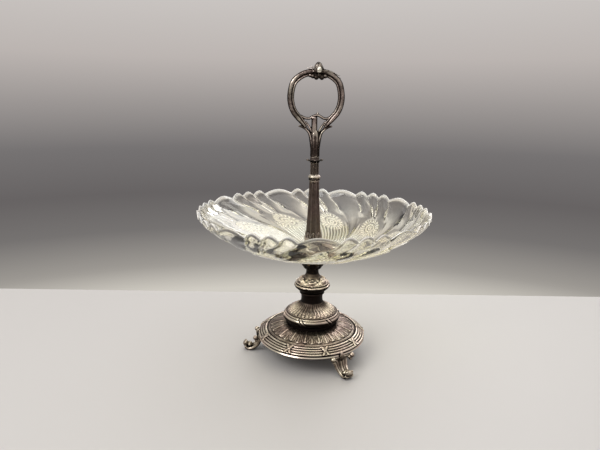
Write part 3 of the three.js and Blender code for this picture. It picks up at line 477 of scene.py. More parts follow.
# A copy of the plate with brighter tops for the knop: painted highlights, and painted shade on faces that
# look down.
LIT_KNOP_SILVER = tarnished_metal(
    "lit_knop_plate", hollow=(0.011, 0.009, 0.008), dull=(0.25, 0.2, 0.17), bright=(0.97, 0.87, 0.76),
    polish=0.18, lit_facing=("Z", 0.05, 0.6, 0.1),
)
# A copy of the plate for the loop handle, darker on the flats and brighter in its highlights: painted light
# and shade, lighter on faces that look to the front.
HANDLE_SILVER = tarnished_metal(
    "handle_light_and_shade_plate", hollow=(0.006, 0.0045, 0.004), dull=(0.09, 0.069, 0.061), bright=(0.95, 0.85, 0.77),
    polish=0.14, lit_facing=("Y", 0.45, 0.95, 0.18),
)
# A lighter copy of the plate for the bud finial: painted highlight.
LIT_BUD_SILVER = tarnished_metal(
    "lit_bud_plate", hollow=(0.006, 0.0045, 0.004), dull=(0.36, 0.31, 0.28), bright=(1.0, 0.95, 0.88),
    polish=0.15, lit_facing=("Y", 0.2, 0.85, 0.15),
)
GLASS = pressed_glass()
CORK = cork_material()
STEEL = machined_metal("old_steel", dark=(0.05, 0.048, 0.05), bright=(0.3, 0.3, 0.31))
BRASS = machined_metal("turned_brass", dark=(0.14, 0.09, 0.03), bright=(0.6, 0.44, 0.18))


# Chased ornament as relief
def around(angle, count, turn):
    """Place across one of count equal sectors, from -1 to 1."""
    return 2 * (((angle - turn) * count / TURN + 0.5) % 1) - 1


def fade_ends(share, start=0.05, end=0.05):
    return smooth(share, 0, start) * smooth(1 - share, 0, end)


def leaf(across, along, lobes):
    """Height, 0 to 1, of a lobed leaf with a midrib: across from -1 to 1, along from root to tip."""
    side = np.abs(across)
    wave = lobes * (along - 0.22 * side)
    width = (0.72 + 0.36 * np.sin(math.pi * along**0.8)) * np.sqrt(np.clip(1 - along**3.5, 0, 1))
    width = width * (0.86 + 0.14 * np.abs(np.sin(math.pi * wave)))
    body = smooth(width - side, 0, 0.16)
    veins = 0.5 + 0.5 * np.cos(TURN * wave)
    hollow = smooth(side, 0.04, 0.3) * (1 - smooth(side, 0.55, 0.95))
    rib = ridge(side, 0.14)
    return body * (0.62 + 0.14 * veins - 0.22 * hollow + 0.38 * rib)


def leaf_row(count, depth, lobes, turn=0.0, from_start=True):
    """Leaves side by side, with the tips of a second row showing between them."""

    def relief(angle, share, radius):
        along = share if from_start else 1 - share
        front = leaf(around(angle, count, turn), along * 1.04, lobes)
        behind = leaf(around(angle, count, turn + TURN / count / 2), along, lobes)
        return depth * np.maximum(front, 0.55 * behind) * fade_ends(share)

    return relief


# Base
BASE_RADIUS = 53
DOME_RADIUS = 44.7
COLLAR_RADIUS = 24.2
SEAT_RADIUS = 27.6
REED_Z = RIM_Z + 3
BAND_Z = RIM_Z + 8
DOME_Z = RIM_Z + 14
UNDER_RADIUS = 22
BASE_WALL = 2.2
REEDS = 4
REED_HEIGHT = 0.85
BAND_LENGTH = math.hypot(BASE_RADIUS - DOME_RADIUS, BAND_Z - REED_Z)
TIES = 9
FIRST_TIE = math.radians(-76)
RIBBON_WIDTH = 2.8
RIBBON_HEIGHT = 1.25
RIBBON_LEAN = 0.62
KNOT_RADIUS = 1.2
KNOT_HEIGHT = 1.7
LEAVES = 18
RAYS = 108
PLAIN_BORDER = 0.14
BOSS_RADIUS = 3
SCREW_HOLE = 1.6
SCREW_CIRCLE = 40


def reeds_and_ties(angle, share, radius):
    """Rounded reeds, bound at each tie by two ribbons that cross and a small knot."""
    reeds = REED_HEIGHT * np.abs(np.sin(math.pi * REEDS * share)) ** 0.6
    off = around(angle, TIES, FIRST_TIE) * TURN / TIES / 2 * radius
    down = (share - 0.5) * BAND_LENGTH
    ribbons = 0
    for lean in (-RIBBON_LEAN, RIBBON_LEAN):
        middle = off - lean * down
        fold = 0.16 * np.abs(np.sin(middle * 2.2))
        edge = smooth(RIBBON_WIDTH / 2 - np.abs(middle), 0, 0.3)
        ribbons = np.maximum(ribbons, edge * (RIBBON_HEIGHT + fold))
    knot = KNOT_HEIGHT * ridge(np.hypot(off, down), KNOT_RADIUS)
    return np.maximum(np.maximum(reeds, ribbons), knot) * fade_ends(share, 0.03, 0.03)


def dome_chasing(angle, share, radius):
    """A ring of leaves with their tips outwards, fine rays over them and a plain border."""
    inside = np.clip((share - PLAIN_BORDER) / (1 - PLAIN_BORDER), 0, 1)
    leaves = leaf_row(LEAVES, 0.85, 3, from_start=False)(angle, inside, radius)
    rays = 0.05 * np.cos(angle * RAYS) * smooth(inside, 0, 0.2) * fade_ends(share)
    border = 0.3 * smooth(share, 0, 0.03) * (1 - smooth(share, PLAIN_BORDER - 0.03, PLAIN_BORDER))
    return leaves + rays + border


def make_base():
    ceiling = COLLAR_Z - BASE_WALL
    under = lifted(RIM_Z, (UNDER_RADIUS, 11.8), (42.5, 5.8), (49.8, 0))
    edge = lifted(RIM_Z, (52.2, 0), (BASE_RADIUS, 0.7), (52.3, 1.6), (BASE_RADIUS, 3))
    band = [(BASE_RADIUS, REED_Z), (DOME_RADIUS, BAND_Z)]
    dome = [(DOME_RADIUS - 1, BAND_Z - 0.5), *lifted(RIM_Z, (38, 10.4), (31, 12.9)), (COLLAR_RADIUS, DOME_Z)]
    neck = [(COLLAR_RADIUS, DOME_Z), *lifted(COLLAR_Z, (23.7, -3.6), (24.6, -2.6))]
    seat = [neck[-1], *lifted(COLLAR_Z, (26.2, -1.9), (27.2, -0.9), (SEAT_RADIUS, 0))]
    bore = [(ROD_HOLE, ceiling), (UNDER_RADIUS, ceiling)]
    shell = turned(
        [*bore, *under, edge, (band, reeds_and_ties), (dome, dome_chasing), neck, seat, (ROD_HOLE, COLLAR_Z)],
        columns=720,
    )
    low, high = RIM_Z + 2.5, RIM_Z + 7
    outline = [(SCREW_HOLE, low), (BOSS_RADIUS, low), (BOSS_RADIUS, high), (SCREW_HOLE, high)]
    boss = turned(outline, columns=32)
    return chased("base", shell, *[moved(boss, turn, SCREW_CIRCLE) for turn in FOOT_ANGLES])


# Feet
FOOT_NAMES = ["foot_left", "foot_front", "foot_rear"]
SCREW_NAMES = [name.replace("foot", "foot_screw") for name in FOOT_NAMES]
FOOT_ANGLES = [math.radians(-179.4) + i * TURN / 3 for i in range(3)]
LEG_HALF_WIDTHS = [(0, 8.8), (0.35, 7.4), (0.6, 5.9), (1, 4.6)]
SCROLL_ENDS = [(2.4, 55.4, 10.4, 17.0), (1.6, 54.9, 9.2, 13.6), (1.6, 54.8, 8.0, 15.4), (1.3, 66.4, 2.6, 7.6)]
LEG_FRONT_POINTS = 41
LEG_BACK_POINTS = 17


def block(low, high):
    x = np.array([low[0], high[0], high[0], low[0]])
    y = np.array([low[1], low[1], high[1], high[1]])
    return np.array([gathered(x, y, z) for z in (low[2], high[2])]), False


def leg_section(share):
    """Broad at the top, narrower at the ankle, with a rib down the middle and a roll along each side."""
    half = float(np.interp(share, *np.transpose(LEG_HALF_WIDTHS)))
    thick = 2.6 - 0.6 * share
    back = np.linspace(-1, 1, LEG_BACK_POINTS)[1:-1]
    across = np.concatenate([np.linspace(1, -1, LEG_FRONT_POINTS), back])
    front = np.arange(len(across)) < LEG_FRONT_POINTS
    side = np.abs(across)
    rolls = ridge(side - 0.8, 0.17) + 0.9 * ridge(side, 0.16) + 0.35 * ridge(side - 0.42, 0.12)
    face = 0.15 + 1.05 * rolls * (1 - 0.25 * share)
    round_off = np.sqrt(np.clip(1 - side**6, 0, 1))
    off = np.where(front, face * round_off, -round_off) * thick * np.where(front, 0.8, 0.75)
    return gathered(across * half, off)


def make_feet():
    """One casting, as it stands on the table, and its copies round the base, each with its node."""
    spine = [(48.4, 17.6), (51.6, 11.2), (53.6, 7.0), (58.3, 3.0), (63.4, 1.6), (66.8, 4.2)]
    tongue = [(53.8, 13.0), (54.6, 17.0), (54.1, 20.4), (51.9, 22.4)]
    shapes = [
        swept(spine, leg_section, step=0.4),
        ball(2.8, (66.2, 0, 6.2), (1, 1.4, 1)),
        ball(2.7, (62.1, 0, 5.2), (1, 1.5, 1)),
        *[ball(radius, (x, side * y, z)) for side in (-1, 1) for radius, x, y, z in SCROLL_ENDS],
        swept(tongue, blade_section(width=4.4, thickness=1.6)),
        block((43, -9.4, 14.6), (53.4, 9.4, 16.9)),
        block((36.9, -4.5, 16.0), (48.1, 4.5, 19.4)),
    ]
    first = cast("foot_casting", shapes, voxel=0.22, softening=2)
    for point in first.data.vertices:
        point.co.z = max(point.co.z, 0)
    feet = []
    for node, turn in zip(FOOT_NAMES, FOOT_ANGLES):
        mesh = first.data.copy()
        mesh.transform(Matrix.Rotation(turn, 4, "Z"))
        feet.append((linked(node.replace("foot", "scroll_foot"), mesh), node))
    bpy.data.objects.remove(first)
    return feet


# Stem
RING_TIES = 6
FIRST_RING_TIE = math.radians(-112)
LOBES = 12
ROSETTES = 6
ROSETTE_TURN = math.radians(-93)
ROSETTE_HALF_WIDTH = 6.4
ROSETTE_HALF_HEIGHT = 5.2
CROWN_RADIUS = 15
CROWN_LENGTH = 13
CALYX_LEAVES = 8


def ring_ties(angle, share, radius):
    """Slight flats where the ring bead is bound."""
    place = around(angle + 0.16 * (share - 0.5), RING_TIES, FIRST_RING_TIE)
    ties = 0.45 * ridge(place, 0.09) - 0.6 * ridge(np.abs(place) - 0.14, 0.035)
    return ties * fade_ends(share, 0.12, 0.12)


def trumpet_leaves(angle, share, radius):
    """Long narrow leaves side by side, each with a rib down its middle."""
    ribs = np.abs(np.cos(LEAVES * (angle - ROSETTE_TURN))) ** 0.6
    place = np.abs(around(angle, LEAVES, ROSETTE_TURN))
    tips = 0.15 * ridge(share - 0.12 - 0.1 * place, 0.04)
    return (0.95 * ribs - 0.6 + tips) * smooth(share, 0.02, 0.1) * (1 - smooth(share, 0.75, 1))


def make_trumpet():
    z = COLLAR_Z
    bead = lifted(z, (SEAT_RADIUS, 0), (28, 1.4), (27.9, 2.8), (27.2, 4), (26.5, 4.6), (26.3, 5.4), (25.6, 6))
    flare = lifted(z, (24.4, 6.7), (22.4, 8.0), (19.4, 9.6), (15.1, 11.7), (12.3, 13.9), (10.9, 16.6))
    spool = [flare[-1], *lifted(z, (10.5, 19.5), (10.7, 23), (11.5, 24.4), (12.2, 25.1))]
    outline = [(ROD_HOLE, z), (bead, ring_ties), (24.8, z + 6.0), (flare, trumpet_leaves), spool]
    trumpet = chased("trumpet", turned([*outline, (12.0, STEM_Z), (ROD_HOLE, STEM_Z)], columns=540))
    # Painted light and shade: a highlight on the ring bead and on the flare's outer leaves, shade on the
    # flare by the spool and under the knop.
    painted_bead_highlight = (27.2, z + 3.8, 2.4, 0.3)
    painted_flare_light_and_shade = [(12.2, z + 14, 2.0, -0.3), (19.5, z + 9.5, 3.2, 0.25)]
    painted_shade_under_knop = (12.1, z + 25.4, 1.0, -0.7)
    return paint_light_and_shade(trumpet, painted_bead_highlight, *painted_flare_light_and_shade, painted_shade_under_knop, rings=True)


def lobed(count, depth, sunk):
    def relief(angle, share, radius):
        place = np.abs(around(angle, count, ROSETTE_TURN))
        return (depth * np.sqrt(1 - place**2 + 1e-9) - sunk) * fade_ends(share, 0.3, 0.3)

    return relief


def rosettes(angle, share, radius):
    """Rounded bosses with a flower on each, and a leaf between each two."""
    off = around(angle, ROSETTES, ROSETTE_TURN) * TURN / ROSETTES / 2 * CROWN_RADIUS / ROSETTE_HALF_WIDTH
    up = (share - 0.5) * CROWN_LENGTH / ROSETTE_HALF_HEIGHT
    reach = np.hypot(off, up)
    petals = (0.35 + 0.65 * np.abs(np.cos(2.5 * np.arctan2(up, off)))) * ridge(reach - 0.5, 0.2)
    boss = 0.9 * (1 - smooth(reach, 0.5, 1.0)) + 0.3 * petals + 0.25 * ridge(reach, 0.2)
    half_step = TURN / ROSETTES / 2
    between = 0.4 * leaf(around(angle, ROSETTES, ROSETTE_TURN + half_step) * 2.6, share, 3)
    return np.maximum(boss, between) * fade_ends(share, 0.08, 0.12)


def make_knop():
    z = STEM_Z
    cup = lifted(z, (11.0, 0), (11.5, 0.8), (13.3, 2.2), (15.4, 4.1), (16.0, 5.4))
    roll = [cup[-1], *lifted(z, (16.9, 5.8), (17.3, 6.9), (17.1, 8.1), (16.3, 8.8))]
    groove = [roll[-1], *lifted(z, (15.8, 9.2), (15.9, 9.6))]
    lip = [groove[-1], *lifted(z, (16.0, 10.1), (15.5, 10.5))]
    crown = [lip[-1], *lifted(z, (14.6, 11.3), (12.9, 12.3), (10.9, 13.3), (8.9, 14.8), (7.8, 16.2))]
    chasing = [(roll, lobed(LOBES, 0.7, 0.4)), groove, (lip, lobed(2 * LOBES, 0.7, 0.35)), (crown, rosettes)]
    outline = [(ROD_HOLE, z), cup, *chasing, (7.4, NECK_Z), (ROD_HOLE, NECK_Z)]
    knop = chased("knop_ball", turned(outline, columns=480))
    # Painted highlights on the roll and the crown, and painted shade at the neck above the bosses.
    painted_roll_highlight, painted_crown_highlight = (17.1, z + 7.8, 1.4, 0.5), (12.6, z + 12.6, 2.6, 0.4)
    return paint_light_and_shade(knop, painted_roll_highlight, painted_crown_highlight, (7.6, z + 16.6, 1.6, -0.65), rings=True)


def calyx_leaf_section(share):
    half = 4.6 * math.sin(math.pi * (0.28 + 0.6 * share)) ** 0.7 + 0.05
    half *= 0.86 + 0.14 * abs(math.sin(math.pi * 2.5 * share))
    turn = full_turn(28)
    across = half * np.cos(turn)
    thick = 0.6 * (1 - 0.5 * share)
    off = thick * np.sin(turn) - 0.4 * ridge(across, 0.5) * (np.sin(turn) < 0) - 0.05 * across**2
    return gathered(across, off)


def make_calyx():
    z = NECK_Z
    neck = lifted(z, (7.3, 0), (6.5, 1.6), (6.1, 3.6), (6.2, 7), (6.6, 9), (7.6, 10.4), (9.0, 11.4))
    recess = lifted(z, (5.9, 11.4), (5.9, 9.1), (ROD_HOLE, 9.1))
    cup = turned([(ROD_HOLE, z), neck, *recess], columns=192)
    blade = lifted(z, (6.4, 7.2), (6.9, 9.0), (8.1, 10.5), (9.6, 11.9), (10.2, 13.1), (10.7, 14.3))
    blades = round_about(swept(blade, calyx_leaf_section), CALYX_LEAVES, FRONT)
    # Painted shade round the foot of the neck, just above the knop.
    return paint_light_and_shade(chased("calyx", cup, *blades), (7.0, z + 0.6, 1.8, -0.7), rings=True)


# Glass dish
DISH_RADIUS = 110
LIP_RADIUS = 109.6
DISH_WALL = 4.5
LIP_ROUND = 0.8
LIP_START = 107
HOLE_RADIUS = 4.6
BOSS_EDGE = 10.4
CENTRE_RADIUS = 14
PETALS = 9
PETAL_ANGLE = math.radians(17)
FIRST_PETAL = math.radians(31.1)
SWIRL = math.radians(55)
PETAL_COLUMNS = 18
SCALLOP_COLUMNS = 18
SCALLOPS = 3
SECTOR_COLUMNS = PETAL_COLUMNS + SCALLOPS * SCALLOP_COLUMNS
PETAL_POINT = 37
PETAL_FULL = 86
PETAL_LIFT = 1.8
LEAST_PETAL = 0.08
NOTCH = 4.6
NOTCH_START = 0.86 * DISH_RADIUS
MEDALLION_RADIUS = 71
MEDALLION_HALF_WIDTH = 11.5
MEDALLION_HALF_LENGTH = 13
MEDALLION_RINGS = 3.4
MEDALLION_RAYS = 20
FLOWER_EDGE = 0.66
LINES = 4.5
FLUTE_START = 83
FLUTE_FULL = 92
FLUTE_LIFT = 2.6
FLUTE_PINCH = 0.75
INNER_FOLLOW = 0.05
INNER_THINNING = 0.6
# Whiteness on the rim, the lip and the seams between lobes: painted highlights, standing in for light caught
# by the glass's edges.
RIM_HIGHLIGHT = 0.9
LIP_HIGHLIGHT = 0.38
PETAL_SEAM_HIGHLIGHT = 0.28
FLUTE_SEAM_HIGHLIGHT = 0.42
HAZE_WHITE = 0.12
PATTERN_START, PATTERN_END = 56, 86
OUTSIDE_RADII = [
    *np.linspace(BOSS_EDGE, PATTERN_START, 26, endpoint=False),
    *np.linspace(PATTERN_START, PATTERN_END, 56, endpoint=False),
    *np.linspace(PATTERN_END, LIP_RADIUS, 26),
]
INSIDE_RADII = [*np.linspace(LIP_RADIUS, 105, 7), *np.linspace(104, 96, 5), *np.linspace(92, 15, 20)]


def dish_rings(radii):
    """Points of the line under the dish's wall at the given radii."""
    middle = lifted(DISH_Z, (BOSS_EDGE, 2.2), (14, 3.9), (22, 6.8), (30, 9.2), (50, 15.4), (70, 22.4))
    outer = lifted(DISH_Z, (85, 29.5), (95, 36), (103, 43), (107, 48), (LIP_RADIUS, 53))
    line = curve([*middle, *outer], 0.5)
    return gathered(radii, np.interp(radii, *line.T))


def lobe_columns(radius):
    """For each column at a radius: its angle, its place across its lobe, 0 to 1, whether it is in a petal,
    its place across the strip of scallops, -1 to 1, and the strip's width as an angle."""
    column = np.arange(PETALS * SECTOR_COLUMNS)
    sector, place = np.divmod(column, SECTOR_COLUMNS)
    petal = PETAL_ANGLE * np.clip((radius - PETAL_POINT) / (PETAL_FULL - PETAL_POINT), LEAST_PETAL, 1)
    start = (PETAL_ANGLE - petal) / 2
    in_petal = place < PETAL_COLUMNS
    beyond = place - PETAL_COLUMNS
    strip = TURN / PETALS - petal
    share = np.where(in_petal, place / PETAL_COLUMNS, (beyond % SCALLOP_COLUMNS) / SCALLOP_COLUMNS)
    across = 2 * beyond / (SCALLOPS * SCALLOP_COLUMNS) - 1
    pinch = 1 + FLUTE_PINCH * smooth(radius, 78, 86) * (1 - smooth(radius, 88, DISH_RADIUS))
    across = np.where(in_petal, 0, np.sign(across) * np.abs(across) ** pinch)
    angle = np.where(in_petal, start + petal * share, start + petal + strip * (1 + across) / 2)
    angle = angle + sector * TURN / PETALS + FIRST_PETAL - PETAL_ANGLE / 2
    angle = angle - SWIRL * (1 - radius / DISH_RADIUS)
    return angle, share, in_petal, across, strip


def medallion(radius, across, strip):
    """The flower and its fan of lines in the strip: height of the rings and rays, height of the lines, and
    the place from the flower's middle, 0, to its edge, 1."""
    off = across * strip / 2 * radius / MEDALLION_HALF_WIDTH
    up = (radius - MEDALLION_RADIUS) / MEDALLION_HALF_LENGTH
    reach = np.hypot(off, up)
    inner = 1 - smooth(reach, FLOWER_EDGE, FLOWER_EDGE + 0.06)
    outer = smooth(reach, FLOWER_EDGE, FLOWER_EDGE + 0.08) * (1 - smooth(reach, 1.0, 1.1))
    rings = (0.5 - 0.5 * np.cos(TURN * reach * MEDALLION_RINGS)) * inner
    rays = (0.5 + 0.5 * np.cos(MEDALLION_RAYS * np.arctan2(up, off))) * outer
    lines = np.abs(np.cos(math.pi * LINES * across)) ** 1.5 * smooth(reach, 1.0, 1.1)
    lines = lines * smooth(MEDALLION_RADIUS + 4 - radius, 0, 12) * smooth(radius, 18, 30)
    return rings + rays, lines, reach


def dish_pattern(radius):
    """What is pressed in the dish at a radius: for each column the angle, the lift of its lobe against the
    flutes' tops at the rim, the lift of the fine pattern and how white the glass is there: frosted in the
    pattern, and a painted highlight along the seams."""
    angle, share, in_petal, across, strip = lobe_columns(radius)
    arch = np.sin(math.pi * share)
    rim = smooth(radius, FLUTE_START, FLUTE_FULL)
    flutes = FLUTE_LIFT * (np.sqrt(arch + 1e-9) - 1) * rim
    sinking = rim + (smooth(radius, 55, 105) - rim) * smooth(arch, 0, 0.5)
    petals = PETAL_LIFT * arch**0.8 * smooth(radius, 30, 75) - FLUTE_LIFT * sinking
    flower, lines, reach = medallion(radius, across, strip)
    fine = np.where(in_petal, 0, 0.95 * flower + lines)
    # Painted highlight along the seams between petals and flutes near the rim.
    seam = (1 - smooth(arch, 0.0, 0.28)) * smooth(radius, 80, 92)
    haze = HAZE_WHITE * smooth(MEDALLION_RADIUS + 15 - radius, 0, 8) * smooth(radius, 14, 26)
    haze = haze * smooth(reach, 0.04, 0.16)
    frost_and_highlight = np.where(in_petal, 0, haze + np.maximum(0.95 * flower, 0.5 * lines))
    frost_and_highlight = np.maximum(frost_and_highlight, np.where(in_petal, PETAL_SEAM_HIGHLIGHT, FLUTE_SEAM_HIGHLIGHT) * seam)
    return angle, np.where(in_petal, petals, flutes), fine, np.clip(frost_and_highlight, 0, 1)


def notch_depth(radius):
    """How far the rim drops between its lobes."""
    arch = np.sin(math.pi * lobe_columns(radius)[1])
    return NOTCH * (1 - arch) * smooth(radius, NOTCH_START, DISH_RADIUS)


def dish_grid():
    """The dish as one grid of rings from under the hole round the rim and back, with the whiteness of
    each point: frost in the pattern and a painted highlight on the seams and lip."""
    plain_angle = lobe_columns(CENTRE_RADIUS)[0]
    rings, frosts_and_highlights = [], []

    def ring(radius, height, angle=plain_angle, frost_and_highlight=0):
        rings.append(gathered(radius * np.cos(angle), radius * np.sin(angle), height))
        frosts_and_highlights.append(frost_and_highlight + 0 * angle)

    ring(HOLE_RADIUS, DISH_Z)
    ring(BOSS_EDGE - 1.4, DISH_Z)
    ring(BOSS_EDGE - 0.8, DISH_Z + 1.1)
    outside = dish_rings(OUTSIDE_RADII)
    for (radius, height), (outward, upward) in zip(outside, directions(outside)):
        angle, lobe, fine, frost_and_highlight = dish_pattern(radius)
        grown = lobe + fine
        # Painted highlight round the lip.
        frost_and_highlight = np.maximum(frost_and_highlight, LIP_HIGHLIGHT * smooth(radius, LIP_START, LIP_RADIUS))
        ring(radius + upward * grown, height - outward * grown - notch_depth(radius), angle, frost_and_highlight)
    inside = dish_rings(INSIDE_RADII)
    for (radius, height), (outward, upward) in zip(inside, -directions(inside)):
        angle, lobe, _, _ = dish_pattern(radius)
        height = height - notch_depth(radius)
        follow = (INNER_FOLLOW * lobe + INNER_THINNING) * smooth(radius, 70, 100)
        wall = DISH_WALL * (1 - 0.5 * smooth(radius, 108, 110.5)) - follow
        # The rounded lip gets the strongest painted highlight, and the rim's inner rings a fainter one.
        if radius == LIP_RADIUS:
            lip_radius = radius - upward * 0.45 * wall + outward * LIP_ROUND
            lip_height = height + outward * 0.45 * wall + upward * LIP_ROUND
            ring(lip_radius, lip_height, angle, RIM_HIGHLIGHT)
        frost_and_highlight = LIP_HIGHLIGHT * smooth(radius, LIP_START, LIP_RADIUS)
        ring(radius - upward * wall, height + outward * wall, angle, frost_and_highlight)
    ring(12, DISH_TOP_Z)
    ring(HOLE_RADIUS, DISH_TOP_Z)
    return (np.array(rings), True), np.concatenate(frosts_and_highlights)


def make_dish():
    grid, frost_and_highlight = dish_grid()
    dish = mesh_piece("pressed_dish", [grid], sharp=math.radians(60))
    frost_and_painted_highlight = dish.data.attributes.new("frost_and_painted_highlight", "FLOAT", "POINT")
    frost_and_painted_highlight.data.foreach_set("value", frost_and_highlight)
    return dish


# Column
FLUTES = 8
LEAFY_SHARE = 0.13


def shaft_flutes(angle, share, radius):
    """Hollow flutes between narrow arrises, closed at both ends."""
    place = np.abs(around(angle, FLUTES, FRONT))
    hollow = np.sqrt(np.clip(1 - (place / 0.82) ** 2, 0, 1))
    return -0.75 * hollow * smooth(share, 0.01, 0.05) * smooth(1 - share, 0.01, 0.05)


def shaft_relief(angle, share, radius):
    """The flutes, with a ring of leaves standing up round their foot."""
    along = np.clip(share / LEAFY_SHARE, 0, 1)
    leaves = leaf(around(angle, FLUTES, FRONT), along, 3) * smooth(share, 0, 0.01)
    return shaft_flutes(angle, share, radius) + 0.9 * leaves


def make_column_foot():
    z = COLUMN_Z
    plinth = lifted(z, (10.8, 0), (11.7, 0.5), (11.9, 1.4), (11.4, 2.4), (10.7, 2.8))
    bell = [plinth[-1], *lifted(z, (10.6, 4.2), (9.6, 6.6), (8.7, 9.2), (8.3, 11.4))]
    bead = [bell[-1], *lifted(z, (8.9, 12), (9.4, 13), (8.9, 14), (8.4, 14.5))]
    top = [bead[-1], (8.3, z + 16), (8.6, SHAFT_Z)]
    recess = [(5.3, SHAFT_Z), (5.3, z + 2), (ROD_HOLE, z + 2)]
    leaves = leaf_row(FLUTES, 1.1, 3, FRONT)
    outline = [(ROD_HOLE, z), plinth, (bell, leaves), bead, top, *recess]
    return chased("column_base", turned(outline, columns=256))


def make_shaft():
    taper = lifted(SHAFT_Z, (8, 0), (7.2, 9.5), (6.3, 22.5), (5.45, 37.5))
    outline = [(SPIGOT_HOLE, SHAFT_Z), ([*taper, (4.75, BEADS_Z)], shaft_relief), (SPIGOT_HOLE, BEADS_Z)]
    return chased("fluted_shaft", turned(outline, columns=240))


def make_bead_collar():
    z = BEADS_Z
    lower = lifted(z, (4.9, 0), (5.3, 0.7), (5.5, 1.4), (5.2, 2.1), (4.8, 2.5))
    upper = [lower[-1], *lifted(z, (5.6, 2.8), (5.9, 3.5), (5.6, 4.2)), (4.7, MID_Z)]
    outline = [(SPIGOT_HOLE, z), lower, upper, (SPIGOT_HOLE, MID_Z)]
    collar = chased("double_bead", turned(outline, columns=128))
    # Painted shade on the lower bead.
    return paint_light_and_shade(collar, (5.3, z + 1.2, 1.3, -0.85), rings=True)


def make_mid_shaft():
    peg_foot = MID_Z - 8
    peg = [(1.2, peg_foot), (2.2, peg_foot), (2.2, MID_Z)]
    taper = [(4.25, MID_Z), (4.2, MID_Z + 5.5), (4.1, BUDS_Z)]
    return chased("upper_shaft", turned([*peg, (taper, shaft_flutes), (1.2, BUDS_Z)], columns=160))


def round_section(radius, flat=1.0):
    """A round bar's outline, or an oval one's with flat times its radius in Y."""
    turn = full_turn(ROUND_POINTS)
    outline = gathered(radius * flat * np.cos(turn), radius * np.sin(turn))
    return lambda share: outline


def bud_section(share):
    half = 1.9 * math.sin(math.pi * (0.2 + 0.75 * share)) + 0.05
    thick = 0.85 * (1 - 0.3 * share)
    return round_section(thick, half / thick)(share)


def make_leaf_collar():
    z = BUDS_Z
    lower = lifted(z, (4.3, 0), (4.5, 0.8), (5.1, 1.6), (5.2, 2.4), (4.7, 3.0))
    upper = [lower[-1], *lifted(z, (4.3, 3.6), (4.2, 4.6)), (4.1, HANDLE_Z)]
    ring = turned([(SPIGOT_HOLE, z), lower, upper, (SPIGOT_HOLE, HANDLE_Z)], columns=128)
    bud = swept(lifted(z, (4.2, 1.8), (5.2, 2.2), (6.4, 2.3), (7.6, 3.0)), bud_section)
    knob = ball(1.0, (6.2, 0, z + 2.6))
    shapes = [ring, *round_about(bud, 4), *round_about(knob, 4)]
    collar = cast("leaf_collar_casting", shapes, voxel=0.16, softening=2)
    # Painted shade round the lower ring of the leaf collar and its buds.
    return paint_light_and_shade(collar, (5.5, z + 1.3, 2.2, -0.75), rings=True)


# Loop handle
FORK_Z = HANDLE_Z + 18.5
LOOP_Z = HANDLE_Z + 74.8
LOOP_RADIUS = 22.8
BRANCH_SPREAD = 3.5
HALF_LOOP = [
    (0.33, 0.13), (0.645, 0.286), (0.846, 0.384), (0.965, 0.5),
    (1, 0.643), (0.912, 0.821), (0.715, 0.916), (0.408, 0.982),
]
BERRIES = [(-3.2, -3.2, 2.0), (0.0, -4.2, 2.2), (4.9, -4.3, 2.2), (2.6, -2.8, 2.4), (8, -3.2, 1.9)]
TOP_BUDS = [(-5.6, -2.6, 1.7), (-2.6, 0.7, 1.9)]
STRAP_HALF_WIDTH = 3.1
STRAP_HALF_DEPTH = 2.7
STRAP_START = 0.07
STRAP_FACE = [
    (1, 0.12), (0.86, 0.6), (0.7, 0.8), (0.53, 0.72), (0.4, 0.62), (0.3, 0.68),
    (0.15, 0.86), (-0.1, 0.98), (-0.45, 0.94), (-0.76, 0.74), (-0.93, 0.45), (-1, 0.12),
]
FORK_OUTLINE = [
    (-5.5, 2.2, 2.2, 0), (-0.1, 2.2, 2.2, 0), (0.2, 4.3, 4.2, 0.2), (6, 4.6, 4.3, 1),
    (12.5, 5.0, 4.3, 1), (17.5, 5.2, 3.8, 1), (21.5, 4.2, 3.1, 0.6), (24, 2.2, 2.4, 0.2),
]


def loop_line():
    """Middle line of the whole ring, from the right branch's foot over the top to the left one's."""
    rise = LOOP_Z - FORK_Z
    half = [(BRANCH_SPREAD, FORK_Z)] + [(LOOP_RADIUS * x, FORK_Z + rise * z) for x, z in HALF_LOOP]
    mirrored = [(-x, z) for x, z in reversed(half)]
    return curve([*half, (0, LOOP_Z), *mirrored], 0.5)


def beside_loop(start, end, lift, count=9):
    """Points beside the ring's middle line between two shares of its length. lift is how far off they
    are, as a number or one for each point."""
    line = loop_line()
    out = directions(line)[:, ::-1] * [1, -1]
    at = np.linspace(start, end, count) * (len(line) - 1)
    places = np.arange(len(line))
    points, away = [gathered(*[np.interp(at, places, column) for column in rows.T]) for rows in (line, out)]
    return points + away * np.broadcast_to(lift, count)[:, None]


def strap_section(share):
    """Two rolls with a hollow channel between them, on both faces. The ends are slimmer."""
    back = [(off, -across) for off, across in reversed(STRAP_FACE)]
    outline = curve([*STRAP_FACE, *back, STRAP_FACE[0]], 0.1)[:-1]
    slim = 0.72 + 0.28 * float(smooth(min(share, 1 - share), 0, 0.1))
    return outline[:, ::-1] * [STRAP_HALF_DEPTH, STRAP_HALF_WIDTH * slim]


def blade_section(width, thickness, lobes=3.0):
    """A leaf's outline at a share of its length: widest near the root, ribbed down the middle."""

    def section(share):
        half = width / 2 * max(math.sin(math.pi * (0.24 + 0.74 * share)), 0.04) ** 0.8
        half *= 0.88 + 0.12 * abs(math.sin(math.pi * lobes * share))
        turn = full_turn(24)
        across = half * np.cos(turn)
        off = thickness / 2 * np.sin(turn) * (1 - 0.5 * share)
        off = off + np.sign(np.sin(turn)) * 0.3 * ridge(across, 0.5) * (1 - share)
        return gathered(across, off)

    return section


